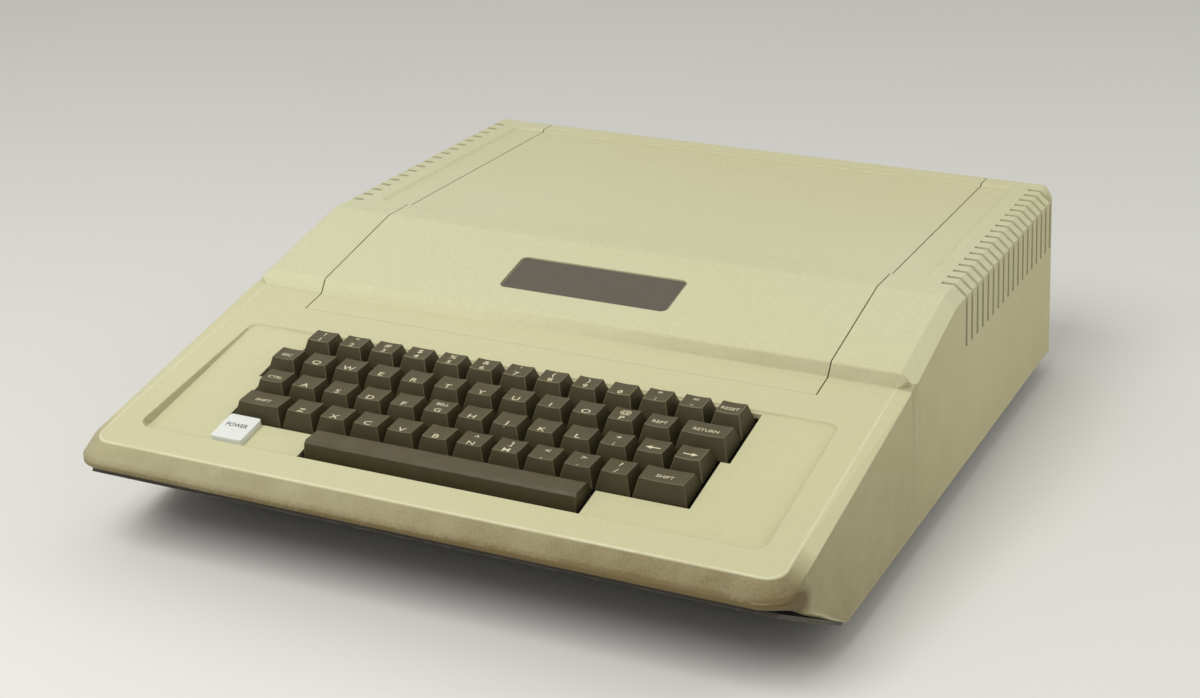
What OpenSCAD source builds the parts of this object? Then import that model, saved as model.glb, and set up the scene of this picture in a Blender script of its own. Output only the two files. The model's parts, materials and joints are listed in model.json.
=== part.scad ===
// Vintage home computer: one-piece plastic top with a lift-off lid, metal base, built-in keyboard,
// logic board with card slots and a boxed power supply.
// X runs to the right, Y to the rear and Z up; the origin is the middle of the footprint.

/* [Case] */
// Width of the case at its bottom edge
overall_w = 387.35; // [380:0.05:400]
// Depth of the case from nose to rear wall
overall_d = 457.2; // [450:0.1:470]
// Height of the plastic case at its rear rim
case_h = 100.3; // [97:0.1:110]
// Thickness of the plastic walls
wall = 3; // [2.4:0.1:3.4]
// Inward lean of the side walls in degrees
side_draft = 3.2; // [2.6:0.1:3.6]
// Radius of the rear corners
rear_r = 12; // [8:0.5:14]
// Half width of the flat top between its chamfers
flat_half_w = 181.7; // [178:0.1:184]
// Lean of the long chamfers in degrees
chamfer_angle = 40.4; // [35:0.1:46]

/* [Top deck] */
// Depth of the flat top deck
top_d = 212.9; // [205:0.1:220]
// How far the top deck falls towards the front
deck_fall = 1.2; // [0.8:0.1:2]
// Depth of the sloping front of the deck
slope_d = 70.3; // [66:0.1:74]
// Drop of the sloping front
slope_drop = 16.4; // [14:0.1:18]
// Depth of the step at the foot of the slope
step_d = 4.6; // [4:0.1:6]
// Drop of the step
step_drop = 7.1; // [6:0.1:8]
// Radius of the step's ends in plan
step_end_r = 12; // [8:0.5:14]
// Radius in the foot of the step
step_fillet = 2; // [1:0.5:3]
// Radius of the long edges
edge_r = 1.2; // [1:0.1:1.4]
// Half width of the shallow tray in the top
tray_half_w = 164.1; // [160:0.1:166]
// Distance of the tray's rear edge from the rear wall
tray_rear = 14.8; // [13:0.1:18]
// Length of the tray
tray_len = 174.7; // [168:0.1:178]
// Depth of the tray
tray_depth = 1.4; // [1:0.1:1.8]
// Corner radius of the tray
tray_r = 4; // [3:0.5:8]

/* [Keyboard deck] */
// Fall of the keyboard deck in degrees
deck_angle = 10.76; // [10:0.01:11.5]
// Distance of the deck's front edge from the nose
bevel_d = 11.2; // [9:0.1:13]
// Drop of the front bevel
bevel_drop = 7.5; // [6:0.1:9]
// Corner radius of the deck's front
deck_r = 9; // [6:0.5:12]
// Corner radius of the nose
nose_r = 18; // [14:0.5:20]
// Half width of the keyboard deck's front, at its lower edge
front_half_w = 188.3; // [186:0.1:190]
// Drop of the side bevels at the step
side_bevel_rear = 0.4; // [0.3:0.1:1]
// Drop of the side bevels at the nose
side_bevel_front = 4.4; // [3:0.1:5]
// Height of the nose's flat edge
nose_t = 2.6; // [2:0.1:4]
// Distance of the chin's foot from the nose
chin_d = 68.3; // [62:0.1:74]
// Half width of the keyboard tray
key_tray_half_w = 165.2; // [162:0.1:168]
// Length of the keyboard tray along its floor
key_tray_len = 103; // [101:0.1:105]
// Corner radius of the keyboard tray
key_tray_r = 5; // [4:0.5:8]

/* [Vents] */
// Slots on each side
vent_count = 18; // [12:1:18]
// Distance from slot to slot
vent_pitch = 10.52; // [9.5:0.01:10.7]
// Width of a slot
vent_w = 3.3; // [2.5:0.1:4]
// Distance of the first slot's middle from the rear wall
vent_first = 14.5; // [13.5:0.1:18]
// Half width from which the slots start on top
vent_x = 174.8; // [171:0.1:176]
// Height of the slots' lower ends above the case's edge
vent_foot = 66; // [60:0.5:75]

/* [Lid] */
// Half width of the lid opening
lid_half_w = 146.3; // [144:0.1:147]
// Distance of the lid's front seam from the rear wall
lid_len = 304.2; // [300:0.1:306]
// Side gap round the lid
lid_gap = 0.65; // [0.3:0.05:0.8]
// Gap at the lid's front seam
lid_front_gap = 0.12; // [0.1:0.02:0.4]
// Depth of the lid's rear lip
lid_lip = 12; // [10:0.5:16]
// Width of the ledge that carries the lid
ledge_w = 6; // [5:0.5:8]
// Thickness of that ledge
ledge_t = 2.4; // [2:0.1:3]
// Radius of the lid's two pegs
peg_r = 3; // [2.5:0.1:3.5]
// Clearance of a peg in its catch
peg_gap = 0.2; // [0.1:0.05:0.3]
// Half distance between the lid's pegs
peg_x = 131; // [129:0.5:132]
// Length of the name plate's recess
badge_w = 98; // [90:0.5:104]
// Height of the name plate's recess along the slope
badge_h = 32; // [28:0.5:34]
// Distance of the recess from the deck's edge, along the slope
badge_top = 21.2; // [18:0.1:24]
// Depth of the recess
badge_depth = 1.2; // [1:0.1:1.4]
// Thickness of the name plate
badge_t = 0.6; // [0.4:0.1:0.8]
// Clearance round the name plate
badge_gap = 0.3; // [0.2:0.05:0.5]
// Corner radius of the name plate
badge_r = 4; // [2:0.5:6]

/* [Base] */
// Thickness of the metal base
pan_t = 2; // [1.5:0.1:2.5]
// Distance of the base's edge from the case's outside
pan_inset = 3; // [2:0.1:3.4]
// Length of the base's front flange up the chin
flange_len = 66; // [58:0.5:68]
// How much the flange narrows towards the nose, each side
flange_taper = 9; // [6:0.5:12]
// Height of the rubber feet
foot_h = 12; // [10:0.5:15]
// Radius of the rubber feet
foot_r = 10; // [8:0.5:12]
// Half distance between the feet across
foot_x = 150; // [130:1:160]
// Distance of the rear feet behind the middle
foot_rear_y = 185; // [170:1:200]
// Distance of the front feet before the middle
foot_front_y = 132; // [120:1:140]
// Radius of the base screws
screw_r = 1.5; // [1.2:0.1:2]
// Radius of the screw heads
screw_head_r = 3.4; // [2.8:0.1:4]
// Height of the screw heads
screw_head_h = 2; // [1.5:0.1:2.5]
// Length of the base screws under their heads
screw_len = 16; // [12:0.5:20]
// Radius of the screw bosses
boss_r = 4.6; // [4:0.1:5]
// Height of the screw bosses
boss_h = 26; // [22:1:30]
// Gap between a boss and the side wall
boss_wall_gap = 3.6; // [3:0.1:4]
// How far a boss may sink into the side wall where the case is narrow
boss_sink = 0.8; // [0.6:0.1:1.5]
// Clearance of screws in their holes
screw_gap = 0.15; // [0.1:0.05:0.3]

/* [Keyboard] */
// Distance from key to key
key_pitch = 19.05; // [18.6:0.05:19.1]
// Sideways place of the keyboard's middle
keyboard_x = -4.1; // [-6:0.1:-2]
// Distance of the key rows' rear edge from the rear wall
keyboard_rear = 328.5; // [327.5:0.1:329.5]
// Height of the key tray's floor at that edge above the case's edge
keyboard_z = 66.6; // [66.2:0.1:67]
// Tilt of the key rows in degrees
key_tilt = 12.44; // [12:0.01:12.8]
// Clearance between the keys and their opening
key_clear = 2; // [1.6:0.1:2.4]
// Gap between neighbouring key caps at their foot
cap_gap = 0.95; // [0.7:0.05:1.4]
// Depth of the caps' feet below the tray's floor
cap_foot = 2; // [1:0.1:2.4]
// Height of the rear row's caps at their back
cap_back_h = 8.1; // [7:0.1:9]
// How much lower each row's back is than the row behind
cap_back_fall = 0.7; // [0.5:0.05:0.9]
// Height of the rear row's caps at their front
cap_front_h = 9.1; // [8:0.1:10]
// How much lower each row's front is than the row behind
cap_front_fall = 0.5; // [0.3:0.05:0.6]
// Slant of the caps' sides, as an inset of the top
cap_side_inset = 2.75; // [2.2:0.05:3.2]
// Inset of the caps' top at the back
cap_back_inset = 2; // [1.6:0.1:2.6]
// Inset of the rear row's caps at the front
cap_front_inset = 5.5; // [4.5:0.1:6]
// How much smaller that inset gets from row to row
cap_front_gain = 0.5; // [0.3:0.05:0.6]
// Depth of the finger dish in each cap
dish_depth = 0.4; // [0.2:0.05:0.9]
// Wall thickness of the caps
cap_wall = 1.5; // [1.2:0.1:1.8]
// Travel of the keys
key_travel = 3.6; // [3:0.1:3.8]
// Width of the space bar in key pitches
space_units = 7.75; // [7.5:0.05:7.8]
// Start of the space bar, in key pitches from the letter Q's left edge
space_start = 2.02; // [1.95:0.01:2.1]
// Width of a plunger
stem_w = 5.4; // [4.6:0.1:6]
// Clearance of a plunger in its switch
stem_gap = 0.3; // [0.2:0.05:0.4]
// Width of a switch under the plate
switch_w = 14; // [13.4:0.1:14.6]
// Width of a switch's flange on the plate
switch_flange_w = 16; // [15.4:0.1:16.6]
// Thickness of a switch's flange
switch_flange_t = 2.4; // [2:0.1:2.6]
// Depth of the switches under the plate's top
switch_depth = 6; // [5.6:0.1:7]
// Depth of the key plate's top under the tray's floor
plate_depth = 9; // [8.8:0.1:9.6]
// Thickness of the key plate
plate_t = 1.5; // [1.2:0.1:2]
// Thickness of the circuit boards
board_t = 1.6; // [1.4:0.1:2]
// Width of the power lamp's cover
lamp_w = 18; // [16:0.1:19]
// Depth of the power lamp's cover
lamp_d = 19.6; // [18:0.1:20]
// Height of the lamp's cover above the tray's floor
lamp_h = 3.6; // [3:0.1:4.5]
// Sideways place of the lamp
lamp_x = -117.4; // [-119:0.1:-116]
// Place of the lamp's middle along the tray from the rear row's edge
lamp_y = 87.8; // [87:0.1:88.4]

/* [Electronics] */
// Width of the logic board
logic_w = 216; // [212:0.5:218]
// Gap between the logic board's front edge and the bend of the base
logic_front_gap = 28.8; // [26:0.1:32]
// Gap between the logic board and the screw bosses beside it
logic_side_gap = 1.875; // [1:0.025:3]
// Gap between the logic board and the rear wall
logic_rear_gap = 1.5; // [1:0.1:3]
// Height of the board's underside above the base
logic_z = 8; // [7:0.5:10]
// Number of card slots
slot_count = 8; // [4:1:8]
// Distance from card slot to card slot
slot_pitch = 22.9; // [22:0.1:23]
// Length of a card slot
slot_len = 74; // [66:1:78]
// Width of a card slot's body
slot_w = 9; // [8:0.1:10]
// Height of a card slot's body
slot_h = 12; // [10:0.5:14]
// Width of the groove for a card
slot_groove = 1.8; // [1.6:0.1:2]
// Radius of the hole in a cassette jack
jack_bore_r = 1.8; // [1.6:0.05:1.9]
// Radius of the video jack's sleeve
video_sleeve_r = 4.15; // [4:0.05:4.3]
// Radius of the hole in the video jack's middle
video_bore_r = 1.65; // [1.5:0.05:1.8]
// Radius of the loudspeaker
speaker_r = 28.5; // [25:0.5:32]

/* [Power supply] */
// Width of the supply box
supply_w = 95; // [90:0.5:97]
// Length of the supply box
supply_len = 252; // [235:1:256]
// Height of the supply box
supply_h = 62; // [58:0.5:64]
// Gap between the supply box and the screw bosses beside it
supply_side_gap = 2.875; // [1:0.025:4]
// Thickness of the supply's sheet metal
sheet_t = 1.2; // [1:0.1:1.5]
// Width of the mains inlet's flange
inlet_w = 30; // [28:0.5:32]
// Height of the mains inlet's flange
inlet_h = 23; // [21:0.5:25]
// Width of the rocker in the power switch
rocker_w = 19.6; // [18:0.1:21]
// Height of the rocker
rocker_h = 12; // [10:0.1:13]
// Swing of the rocker in degrees
rocker_swing = 16; // [12:1:18]

/* [Chips] */
// Length of a small chip
chip_len = 19.6; // [18:0.1:20.4]
// Width of a small chip
chip_w = 6.6; // [6:0.1:7]
// Length of a wide chip
wide_chip_len = 31; // [29:0.5:31]
// Width of a wide chip
wide_chip_w = 13.6; // [12.5:0.1:14]
// Length of the processor
processor_len = 52; // [48:0.5:54]
// Height of the chip sockets
socket_h = 2.6; // [2:0.1:3.2]
// Height of a chip above its socket
chip_h = 3; // [2.5:0.1:3.6]
// Distance between two rows of small chips
chip_row_pitch = 14; // [11:0.5:14]
// Distance between two memory chips
memory_pitch = 22; // [21:0.1:22.5]
// Distance between two logic chips
logic_pitch = 24.5; // [22:0.1:25]
// Distance between two wide chips
wide_pitch = 32; // [31.5:0.1:33]
// Width of the supply's transformer
transformer_w = 48; // [40:0.5:54]
// Length of the supply's transformer
transformer_len = 32; // [28:0.5:36]
// Height of the supply's transformer
transformer_h = 34; // [30:0.5:38]

/* [Hidden] */
$fn = 48;
eps = 0.01;

// Main levels and stations
rear_y = overall_d/2;
base_z = foot_h + pan_t;
half_w = overall_w/2;
inner_half_w = half_w - wall;
kink_y = rear_y - top_d;
kink_z = case_h - deck_fall;
step_top = [kink_y - slope_d, kink_z - slope_drop];
step_foot = [step_top[0] - step_d, step_top[1] - step_drop];
deck_front_y = -rear_y + bevel_d;
wedge_rear_y = step_foot[0] + step_end_r + 2;
side_inset = 0.03;
deck_front_z = deck_z(deck_front_y);
nose_z = deck_front_z - bevel_drop;
chin_y = -rear_y + chin_d;
chin_angle = atan2(nose_z - nose_t, chin_d);
slope_angle = atan2(slope_drop, slope_d);
top_angle = atan2(deck_fall, top_d);
lid_front_y = rear_y - lid_len;

// Height of the keyboard deck above the case's edge
function deck_z(y) = step_foot[1] + (y - step_foot[0])*tan(deck_angle);
// Half width of the drafted side wall at a height above the case's edge
function side_x(z) = half_w - z*tan(side_draft);

// Keyboard layout: start of each row in key pitches from the letter Q's left edge
number_start = -0.5;
upper_start = 0;
home_start = 0.25;
lower_start = 0.75;
row_starts = [number_start, -1, -0.75, -0.75];
row_ends = [12.5, 12.5, 12.25, 12.25];
layout_middle = 5.75;
q_x = keyboard_x - layout_middle*key_pitch;
keyboard_y = rear_y - keyboard_rear;
space_middle = space_start + space_units/2;
space_guide = 2.6;
switch_floor_t = 0.8;
switch_foot = plate_depth + switch_depth;
stem_foot = switch_foot - switch_floor_t - key_travel - 0.4;
plate_x = [q_x - 1.65*key_pitch, q_x + 13.05*key_pitch];
plate_y = [3, -5.15*key_pitch];
plate_boss_x = [plate_x[0] + 4.5, plate_x[1] - 4.5];
plate_boss_y = [-1.5, plate_y[1] + 4.5];
plate_boss_r = 3.6;
// All single letter and number keys of a row are one pitch wide
letters_in_row = 10;

peg_y = rear_y - 22;
catch_z = base_z + case_h - lid_lip - 8;

// Half width inside the wedge's side walls at a Y
function room_half_w(y) = side_x(nose_z) - side_inset - wall
    - (side_x(nose_z) - side_inset - front_half_w)*max(wedge_rear_y - y, 0)/(wedge_rear_y + rear_y - wall);
// Distance of a screw boss from the middle at a Y
function boss_x(y) = min(inner_half_w - boss_wall_gap - boss_r, room_half_w(y) - boss_r + boss_sink);
boss_ys = [rear_y - 28.6, 62, -70, chin_y + 20.3];

// Electronics layout
logic_rear_y = rear_y - wall - logic_rear_gap;
logic_top = base_z + logic_z + board_t;
logic_len = logic_rear_y - chin_y - logic_front_gap;
logic_x = boss_x(boss_ys[2]) - boss_r - logic_side_gap - logic_w;
supply_x = -boss_x(boss_ys[1]) + boss_r + supply_side_gap;
slot_first_x = logic_x + 16;
slot_y = logic_rear_y - 12 - slot_len/2;
jack_z = logic_top + 6.5;
video_x = logic_x + logic_w - 29;
cassette_x = [logic_x + logic_w - 14.5, logic_x + logic_w - 4.5];
jack_body_w = 8.6;
speaker_pos = [supply_x + 57, -92];
supply_rear_y = rear_y - wall - 0.4;
supply_right = supply_x + supply_w;
inlet_x = supply_x + 26;
inlet_z = base_z + 30;
switch_x = supply_x + 68;
switch_z = inlet_z;
flange_t = 1.5;
notch_w = 26;
notch_foot = 30;
notch_xs = [logic_x + 35, logic_x + 92, logic_x + 149];
logic_posts = [for (y = [21, 180, logic_len - 11.6], x = [8, logic_w - 8]) [x, y]];
supply_posts = [[12, -20], [12, -232], [83, -20], [83, -232]];

// Box with rounded vertical edges, centred on X and Y, standing on Z = 0
module round_box(w, d, h, r) {
    translate([-w/2 + r, -d/2, 0]) cube([w - 2*r, d, h]);
    translate([-w/2, -d/2 + r, 0]) cube([w, d - 2*r, h]);
    for (sx = [-1, 1], sy = [-1, 1])
        translate([sx*(w/2 - r), sy*(d/2 - r), 0]) cylinder(r = r, h = h);
}

// Extrudes a drawing in Y and Z along X, centred
module across(w) {
    rotate([90, 0, 90]) translate([0, 0, -w/2]) linear_extrude(w) children();
}

// Side view of the case, from the rear wall over the deck to the chin
module side_view() {
    polygon([[rear_y, 0], [rear_y, case_h], [kink_y, kink_z], step_top, step_foot,
        [deck_front_y, deck_front_z], [-rear_y, nose_z], [-rear_y, nose_z - nose_t], [chin_y, 0]]);
}

// The same with its long edges eased and the foot of the step filled
module soft_side_view() {
    offset(r = edge_r) offset(delta = -edge_r)
        offset(r = -step_fillet) offset(delta = step_fillet) side_view();
}

// Side view of the room inside, open at the bottom and along the chin
module room_side_view(t) {
    offset(delta = -t) side_view();
    translate([chin_y - chin_d + wall + 1.2, -1]) square([overall_d - 2*wall - 1.2, wall + 2]);
    polygon([[-rear_y + wall + 1.2, nose_z - 4], [-rear_y + wall + 1.2, -1], [chin_y + 40, -1],
        [chin_y + 40, wall + 8]]);
}

// Block with the drafted sides and the rounded rear corners
module drafted_block(t) {
    foot = -2;
    top = case_h + 10;
    translate([0, 0, foot])
        linear_extrude(top - foot, scale = [(side_x(top) - t)/(side_x(foot) - t), 1], slices = 1)
            plan(side_x(foot) - t, rear_y - t + 0.2, side_x(foot) - t, -rear_y - 40, rear_r - t);
}

// Front view that only cuts the two long chamfers, with the deck's edge at Z = 0
module chamfer_section(t) {
    lean = tan(chamfer_angle);
    reach = 14;
    offset(delta = -t)
        polygon([[-half_w - reach, -3*case_h], [half_w + reach, -3*case_h],
            [half_w + reach, -(half_w + reach - flat_half_w)*lean], [flat_half_w - reach, reach*lean],
            [-flat_half_w + reach, reach*lean], [-half_w - reach, -(half_w + reach - flat_half_w)*lean]]);
}

// The deck block behind the step, with its chamfers along the top and down the slope
module deck_block(t) {
    intersection() {
        drafted_block(t);
        translate([0, kink_y, kink_z]) rotate([top_angle, 0, 0]) rotate([90, 0, 0])
            linear_extrude(2*overall_d, center = true) chamfer_section(t);
        translate([0, kink_y, kink_z]) rotate([slope_angle, 0, 0]) rotate([90, 0, 0])
            linear_extrude(2*overall_d, center = true) chamfer_section(t);
        union() {
            translate([-half_w, step_foot[0] + step_end_r, -2]) cube([overall_w, overall_d, case_h + 10]);
            translate([-half_w + 3.5, step_foot[0] + 0.6*t, -2])
                translate([half_w - 3.5, step_end_r, 0])
                    round_box(overall_w - 7, 2*step_end_r, case_h, step_end_r - eps);
        }
    }
}

// Tilts its children so that their plane Z = 0 meets a height at one Y and another at a second Y
module tilted(y1, z1, y2, z2) {
    slope = (z2 - z1)/(y2 - y1);
    multmatrix([[1, 0, 0, 0], [0, 1, 0, 0], [0, slope, 1, z1 - slope*y1], [0, 0, 0, 1]]) children();
}

// Plan with rounded corners, symmetric about Y. Its sides run straight to a waist and taper from there
module plan(rear_half, rear, front_half, front, r, waist = undef) {
    offset(r = r, $fn = 32) offset(delta = -r)
        if (waist == undef)
            polygon([[-rear_half, rear], [rear_half, rear], [front_half, front], [-front_half, front]]);
        else
            polygon([[-rear_half, waist], [-rear_half, rear], [rear_half, rear], [rear_half, waist],
                [front_half, front], [-front_half, front]]);
}

// The wedge under the keyboard deck, with bevels round its front and sides. With a depth it is the
// room inside that wedge, open at the bottom
module wedge_block(t) {
    edge_z = deck_z(wedge_rear_y) - side_bevel_rear;
    foot_z = t > 0 ? -2 : nose_z - nose_t;
    hull() {
        tilted(kink_y, deck_z(kink_y) - t, deck_front_y, deck_front_z - t) translate([0, 0, -0.1])
            linear_extrude(0.1)
                plan(flat_half_w - 0.7 - t, kink_y, flat_half_w - 0.7 - t, deck_front_y + t, deck_r - t);
        tilted(wedge_rear_y, edge_z - t, deck_front_y, deck_front_z - side_bevel_front - t)
            translate([0, 0, -0.1]) linear_extrude(0.1)
                plan(side_x(edge_z) - side_inset - t, wedge_rear_y, front_half_w - t, deck_front_y - 2 + t,
                    nose_r - 2 - t);
        translate([0, 0, foot_z]) linear_extrude(nose_z - foot_z - t/2)
            plan(side_x(nose_z) - side_inset - t, kink_y, front_half_w - t, -rear_y + t, nose_r - t,
                wedge_rear_y);
        if (t == 0) translate([-half_w, chin_y, 0]) cube([overall_w, kink_y - chin_y, 0.1]);
    }
}

// The whole outer form of case and lid together
module case_form() {
    intersection() {
        across(overall_w + 10) soft_side_view();
        union() {
            deck_block(0);
            wedge_block(0);
        }
    }
}

// Room inside the case
module case_room() {
    intersection() {
        across(overall_w) room_side_view(wall);
        union() {
            intersection() {
                deck_block(wall);
                translate([-half_w, step_foot[0] + 0.6*wall, -2]) cube([overall_w, overall_d, case_h]);
            }
            wedge_block(wall);
        }
    }
}

// Places its children on the floor of the keyboard tray, with Y up the tilt
module on_key_floor() {
    translate([0, keyboard_y, base_z + keyboard_z]) rotate([key_tilt, 0, 0]) children();
}

// Shallow tray cut into the top, with sloping walls
module tray_cut() {
    mid = rear_y - tray_rear - tray_len/2;
    translate([0, mid, base_z + kink_z + (mid - kink_y)*tan(top_angle)]) rotate([top_angle, 0, 0]) hull() {
        translate([0, 0, -tray_depth]) round_box(2*tray_half_w, tray_len, 0.1, tray_r);
        translate([0, 0, 0.6]) round_box(2*tray_half_w + 4, tray_len + 4, 1, tray_r + 2);
    }
}

// Keyboard tray cut into the deck, with sloping walls
module key_tray_cut() {
    on_key_floor() translate([0, key_clear + 1.2 - key_tray_len/2, 0]) hull() {
        round_box(2*key_tray_half_w, key_tray_len, 0.1, key_tray_r);
        translate([0, 0, 9]) round_box(2*key_tray_half_w + 8, key_tray_len + 8, 1, key_tray_r + 4);
    }
}

// Stepped opening that follows the key rows
module key_opening_cut() {
    on_key_floor() {
        for (row = [0:3])
            translate([q_x + row_starts[row]*key_pitch - key_clear, -(row + 1)*key_pitch - key_clear, -12])
                cube([(row_ends[row] - row_starts[row])*key_pitch + 2*key_clear,
                    key_pitch + 2*key_clear, 24]);
        translate([q_x + space_start*key_pitch - key_clear, -5*key_pitch - key_clear, -12])
            cube([space_units*key_pitch + 2*key_clear, key_pitch + 2*key_clear, 24]);
        translate([lamp_x - lamp_w/2 + 2, -lamp_y - lamp_d/2 + 2, -12]) cube([lamp_w - 4, lamp_d - 4, 24]);
    }
}

// One row of slots that runs over the chamfer and down the side
module vent_cuts() {
    top = case_h;
    knee_x = side_x(top - 6);
    for (i = [0:vent_count - 1])
        translate([0, rear_y - vent_first - i*vent_pitch, base_z]) rotate([90, 0, 0])
            linear_extrude(vent_w, center = true)
                polygon([[vent_x, top + 2], [flat_half_w + 2, top + 2], [half_w, top - 5],
                    [half_w + 2, vent_foot],
                    [side_x(vent_foot) - wall - 1.5, vent_foot], [knee_x - wall - 1.5, top - 8.5],
                    [flat_half_w - 2.5, top - wall - 2.5], [vent_x, top - wall - 2.5]]);
}

// Side view of a strip of the case's skin between two depths
module skin_strip(from, to) {
    difference() {
        offset(delta = -from) side_view();
        offset(delta = -to) side_view();
    }
}

// Ledge inside the case that the lid rests on
module lid_ledge() {
    side_w = ledge_w + 5;
    for (side = [-1, 1]) {
        translate([side*(lid_half_w - ledge_w + side_w/2), 0, 0]) intersection() {
            across(side_w) skin_strip(wall, wall + ledge_t);
            translate([-side_w, lid_front_y - 4, step_foot[1] - 14]) cube([2*side_w, lid_len - 4, 60]);
        }
        translate([side*(lid_half_w + 2.5), 0, 0]) intersection() {
            across(3) skin_strip(wall - 1, wall + 1);
            translate([-side_w, lid_front_y - 4, step_foot[1] - 14]) cube([2*side_w, lid_len - 4, 60]);
        }
    }
    intersection() {
        across(2*lid_half_w) skin_strip(wall, wall + ledge_t);
        translate([-half_w, lid_front_y - 5, 40]) cube([overall_w, ledge_w + 5, 60]);
    }
    intersection() {
        across(2*lid_half_w) skin_strip(wall - 1, wall + 1);
        translate([-half_w, lid_front_y - 5, 40]) cube([overall_w, 3, 60]);
    }
}

// Screw boss that grows from the side wall
module screw_boss() {
    difference() {
        union() {
            cylinder(r = boss_r, h = boss_h);
            translate([0, -1.5, 0]) cube([boss_r + 3, 3, boss_h]);
        }
        translate([0, 0, -1]) cylinder(r = screw_r, h = screw_len + 2);
    }
}

module top_case() color([0.78, 0.76, 0.62]) {
    difference() {
        union() {
            difference() {
                translate([0, 0, base_z]) case_form();
                translate([0, 0, base_z]) case_room();
            }
            // floor of the keyboard tray
            intersection() {
                translate([0, 0, base_z]) case_form();
                on_key_floor() translate([-key_tray_half_w - wall, key_clear + 4.2 - key_tray_len - 6, -wall])
                    cube([2*key_tray_half_w + 2*wall, key_tray_len + 6, wall + 1]);
            }
            translate([0, 0, base_z]) lid_ledge();
            // posts that the key plate is screwed to
            on_key_floor() for (x = plate_boss_x, y = plate_boss_y)
                translate([x, y, -plate_depth]) cylinder(r = plate_boss_r, h = plate_depth - 1);
            for (side = [0, 1], y = boss_ys)
            mirror([side, 0, 0]) translate([boss_x(y), y, base_z]) screw_boss();
        }
        // lid opening, and the rear wall under the lid's lip
        translate([0, 0, base_z]) intersection() {
            translate([-lid_half_w, lid_front_y, step_foot[1] - 12])
                cube([2*lid_half_w, lid_len - wall - 0.5, 60]);
            across(overall_w) skin_strip(-2, wall);
        }
        translate([-lid_half_w, rear_y - wall - 1, base_z + case_h - lid_lip])
            cube([2*lid_half_w, wall + 2, lid_lip + 2]);
        tray_cut();
        key_tray_cut();
        key_opening_cut();
        for (side = [0, 1]) mirror([side, 0, 0]) vent_cuts();
        on_key_floor() for (x = plate_boss_x, y = plate_boss_y)
            translate([x, y, -plate_depth - 1]) cylinder(r = screw_r, h = 7);
        // window for the supply's rear panel
        translate([supply_x + 4, rear_y - wall - 1, inlet_z - 20])
            cube([supply_w - 8, wall + 2, 40]);
        // tall notches for card cables
        for (x = notch_xs) translate([x - notch_w/2, rear_y - wall - 1, base_z + notch_foot])
            cube([notch_w, wall + 2, case_h - notch_foot]);
        // jack holes
        translate([video_x, rear_y + 1, jack_z]) rotate([90, 0, 0])
            cylinder(r = video_sleeve_r + 2, h = wall + 2);
        for (x = cassette_x) translate([x, rear_y + 1, jack_z]) rotate([90, 0, 0])
            cylinder(r = jack_bore_r + 2.4, h = wall + 2);
    }
}

module lid() color([0.79, 0.77, 0.63]) {
    difference() {
        union() {
            // skin
            translate([0, 0, base_z]) intersection() {
                translate([-lid_half_w + lid_gap, lid_front_y + lid_front_gap, step_foot[1] - 12])
                    cube([2*(lid_half_w - lid_gap), lid_len, 60]);
                across(overall_w) difference() {
                    soft_side_view();
                    offset(delta = -wall) side_view();
                }
            }
            // stiffening ribs and pegs under the skin
            for (side = [-1, 1]) {
                translate([side*(lid_half_w - ledge_w - 6), 0, base_z]) intersection() {
                    across(2) skin_strip(wall - 1, wall + 7);
                    translate([-4, lid_front_y + ledge_w + 4, 40]) cube([8, lid_len - ledge_w - 30, 80]);
                }
                translate([side*peg_x, peg_y, catch_z])
                    cylinder(r = peg_r, h = base_z + case_h - wall + 0.8 - catch_z);
            }
        }
        // foot of the rear lip
        translate([-overall_w/2, 0, base_z + case_h - lid_lip - 50 + 0.3])
            translate([0, rear_y - wall - 0.2, 0]) cube([overall_w, wall + 2, 50]);
        tray_cut();
        badge_place() translate([0, 0, -badge_depth]) round_box(badge_w, badge_h, 5, badge_r);
    }
}

// Puts its children at the name plate's middle, on the slope
module badge_place() {
    translate([0, kink_y, base_z + kink_z]) rotate([slope_angle, 0, 0])
        translate([0, -badge_top - badge_h/2, 0]) children();
}

module name_plate() color([0.42, 0.39, 0.32])
    badge_place() translate([0, 0, -badge_depth])
        round_box(badge_w - 2*badge_gap, badge_h - 2*badge_gap, badge_t, badge_r - badge_gap);

// Catches that grip the lid's pegs, on a shelf behind the card bay
module lid_catches() color([0.25, 0.25, 0.25])
    for (side = [-1, 1]) translate([side*peg_x, peg_y, catch_z]) difference() {
        union() {
            cylinder(r = peg_r + 2.4, h = 6);
            translate([-5, 0, 0]) cube([10, rear_y - wall - peg_y, 3]);
            translate([-7, rear_y - wall - 2 - peg_y, -10]) cube([14, 2, 13]);
        }
        translate([0, 0, -1]) cylinder(r = peg_r + peg_gap, h = 9);
    }

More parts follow.
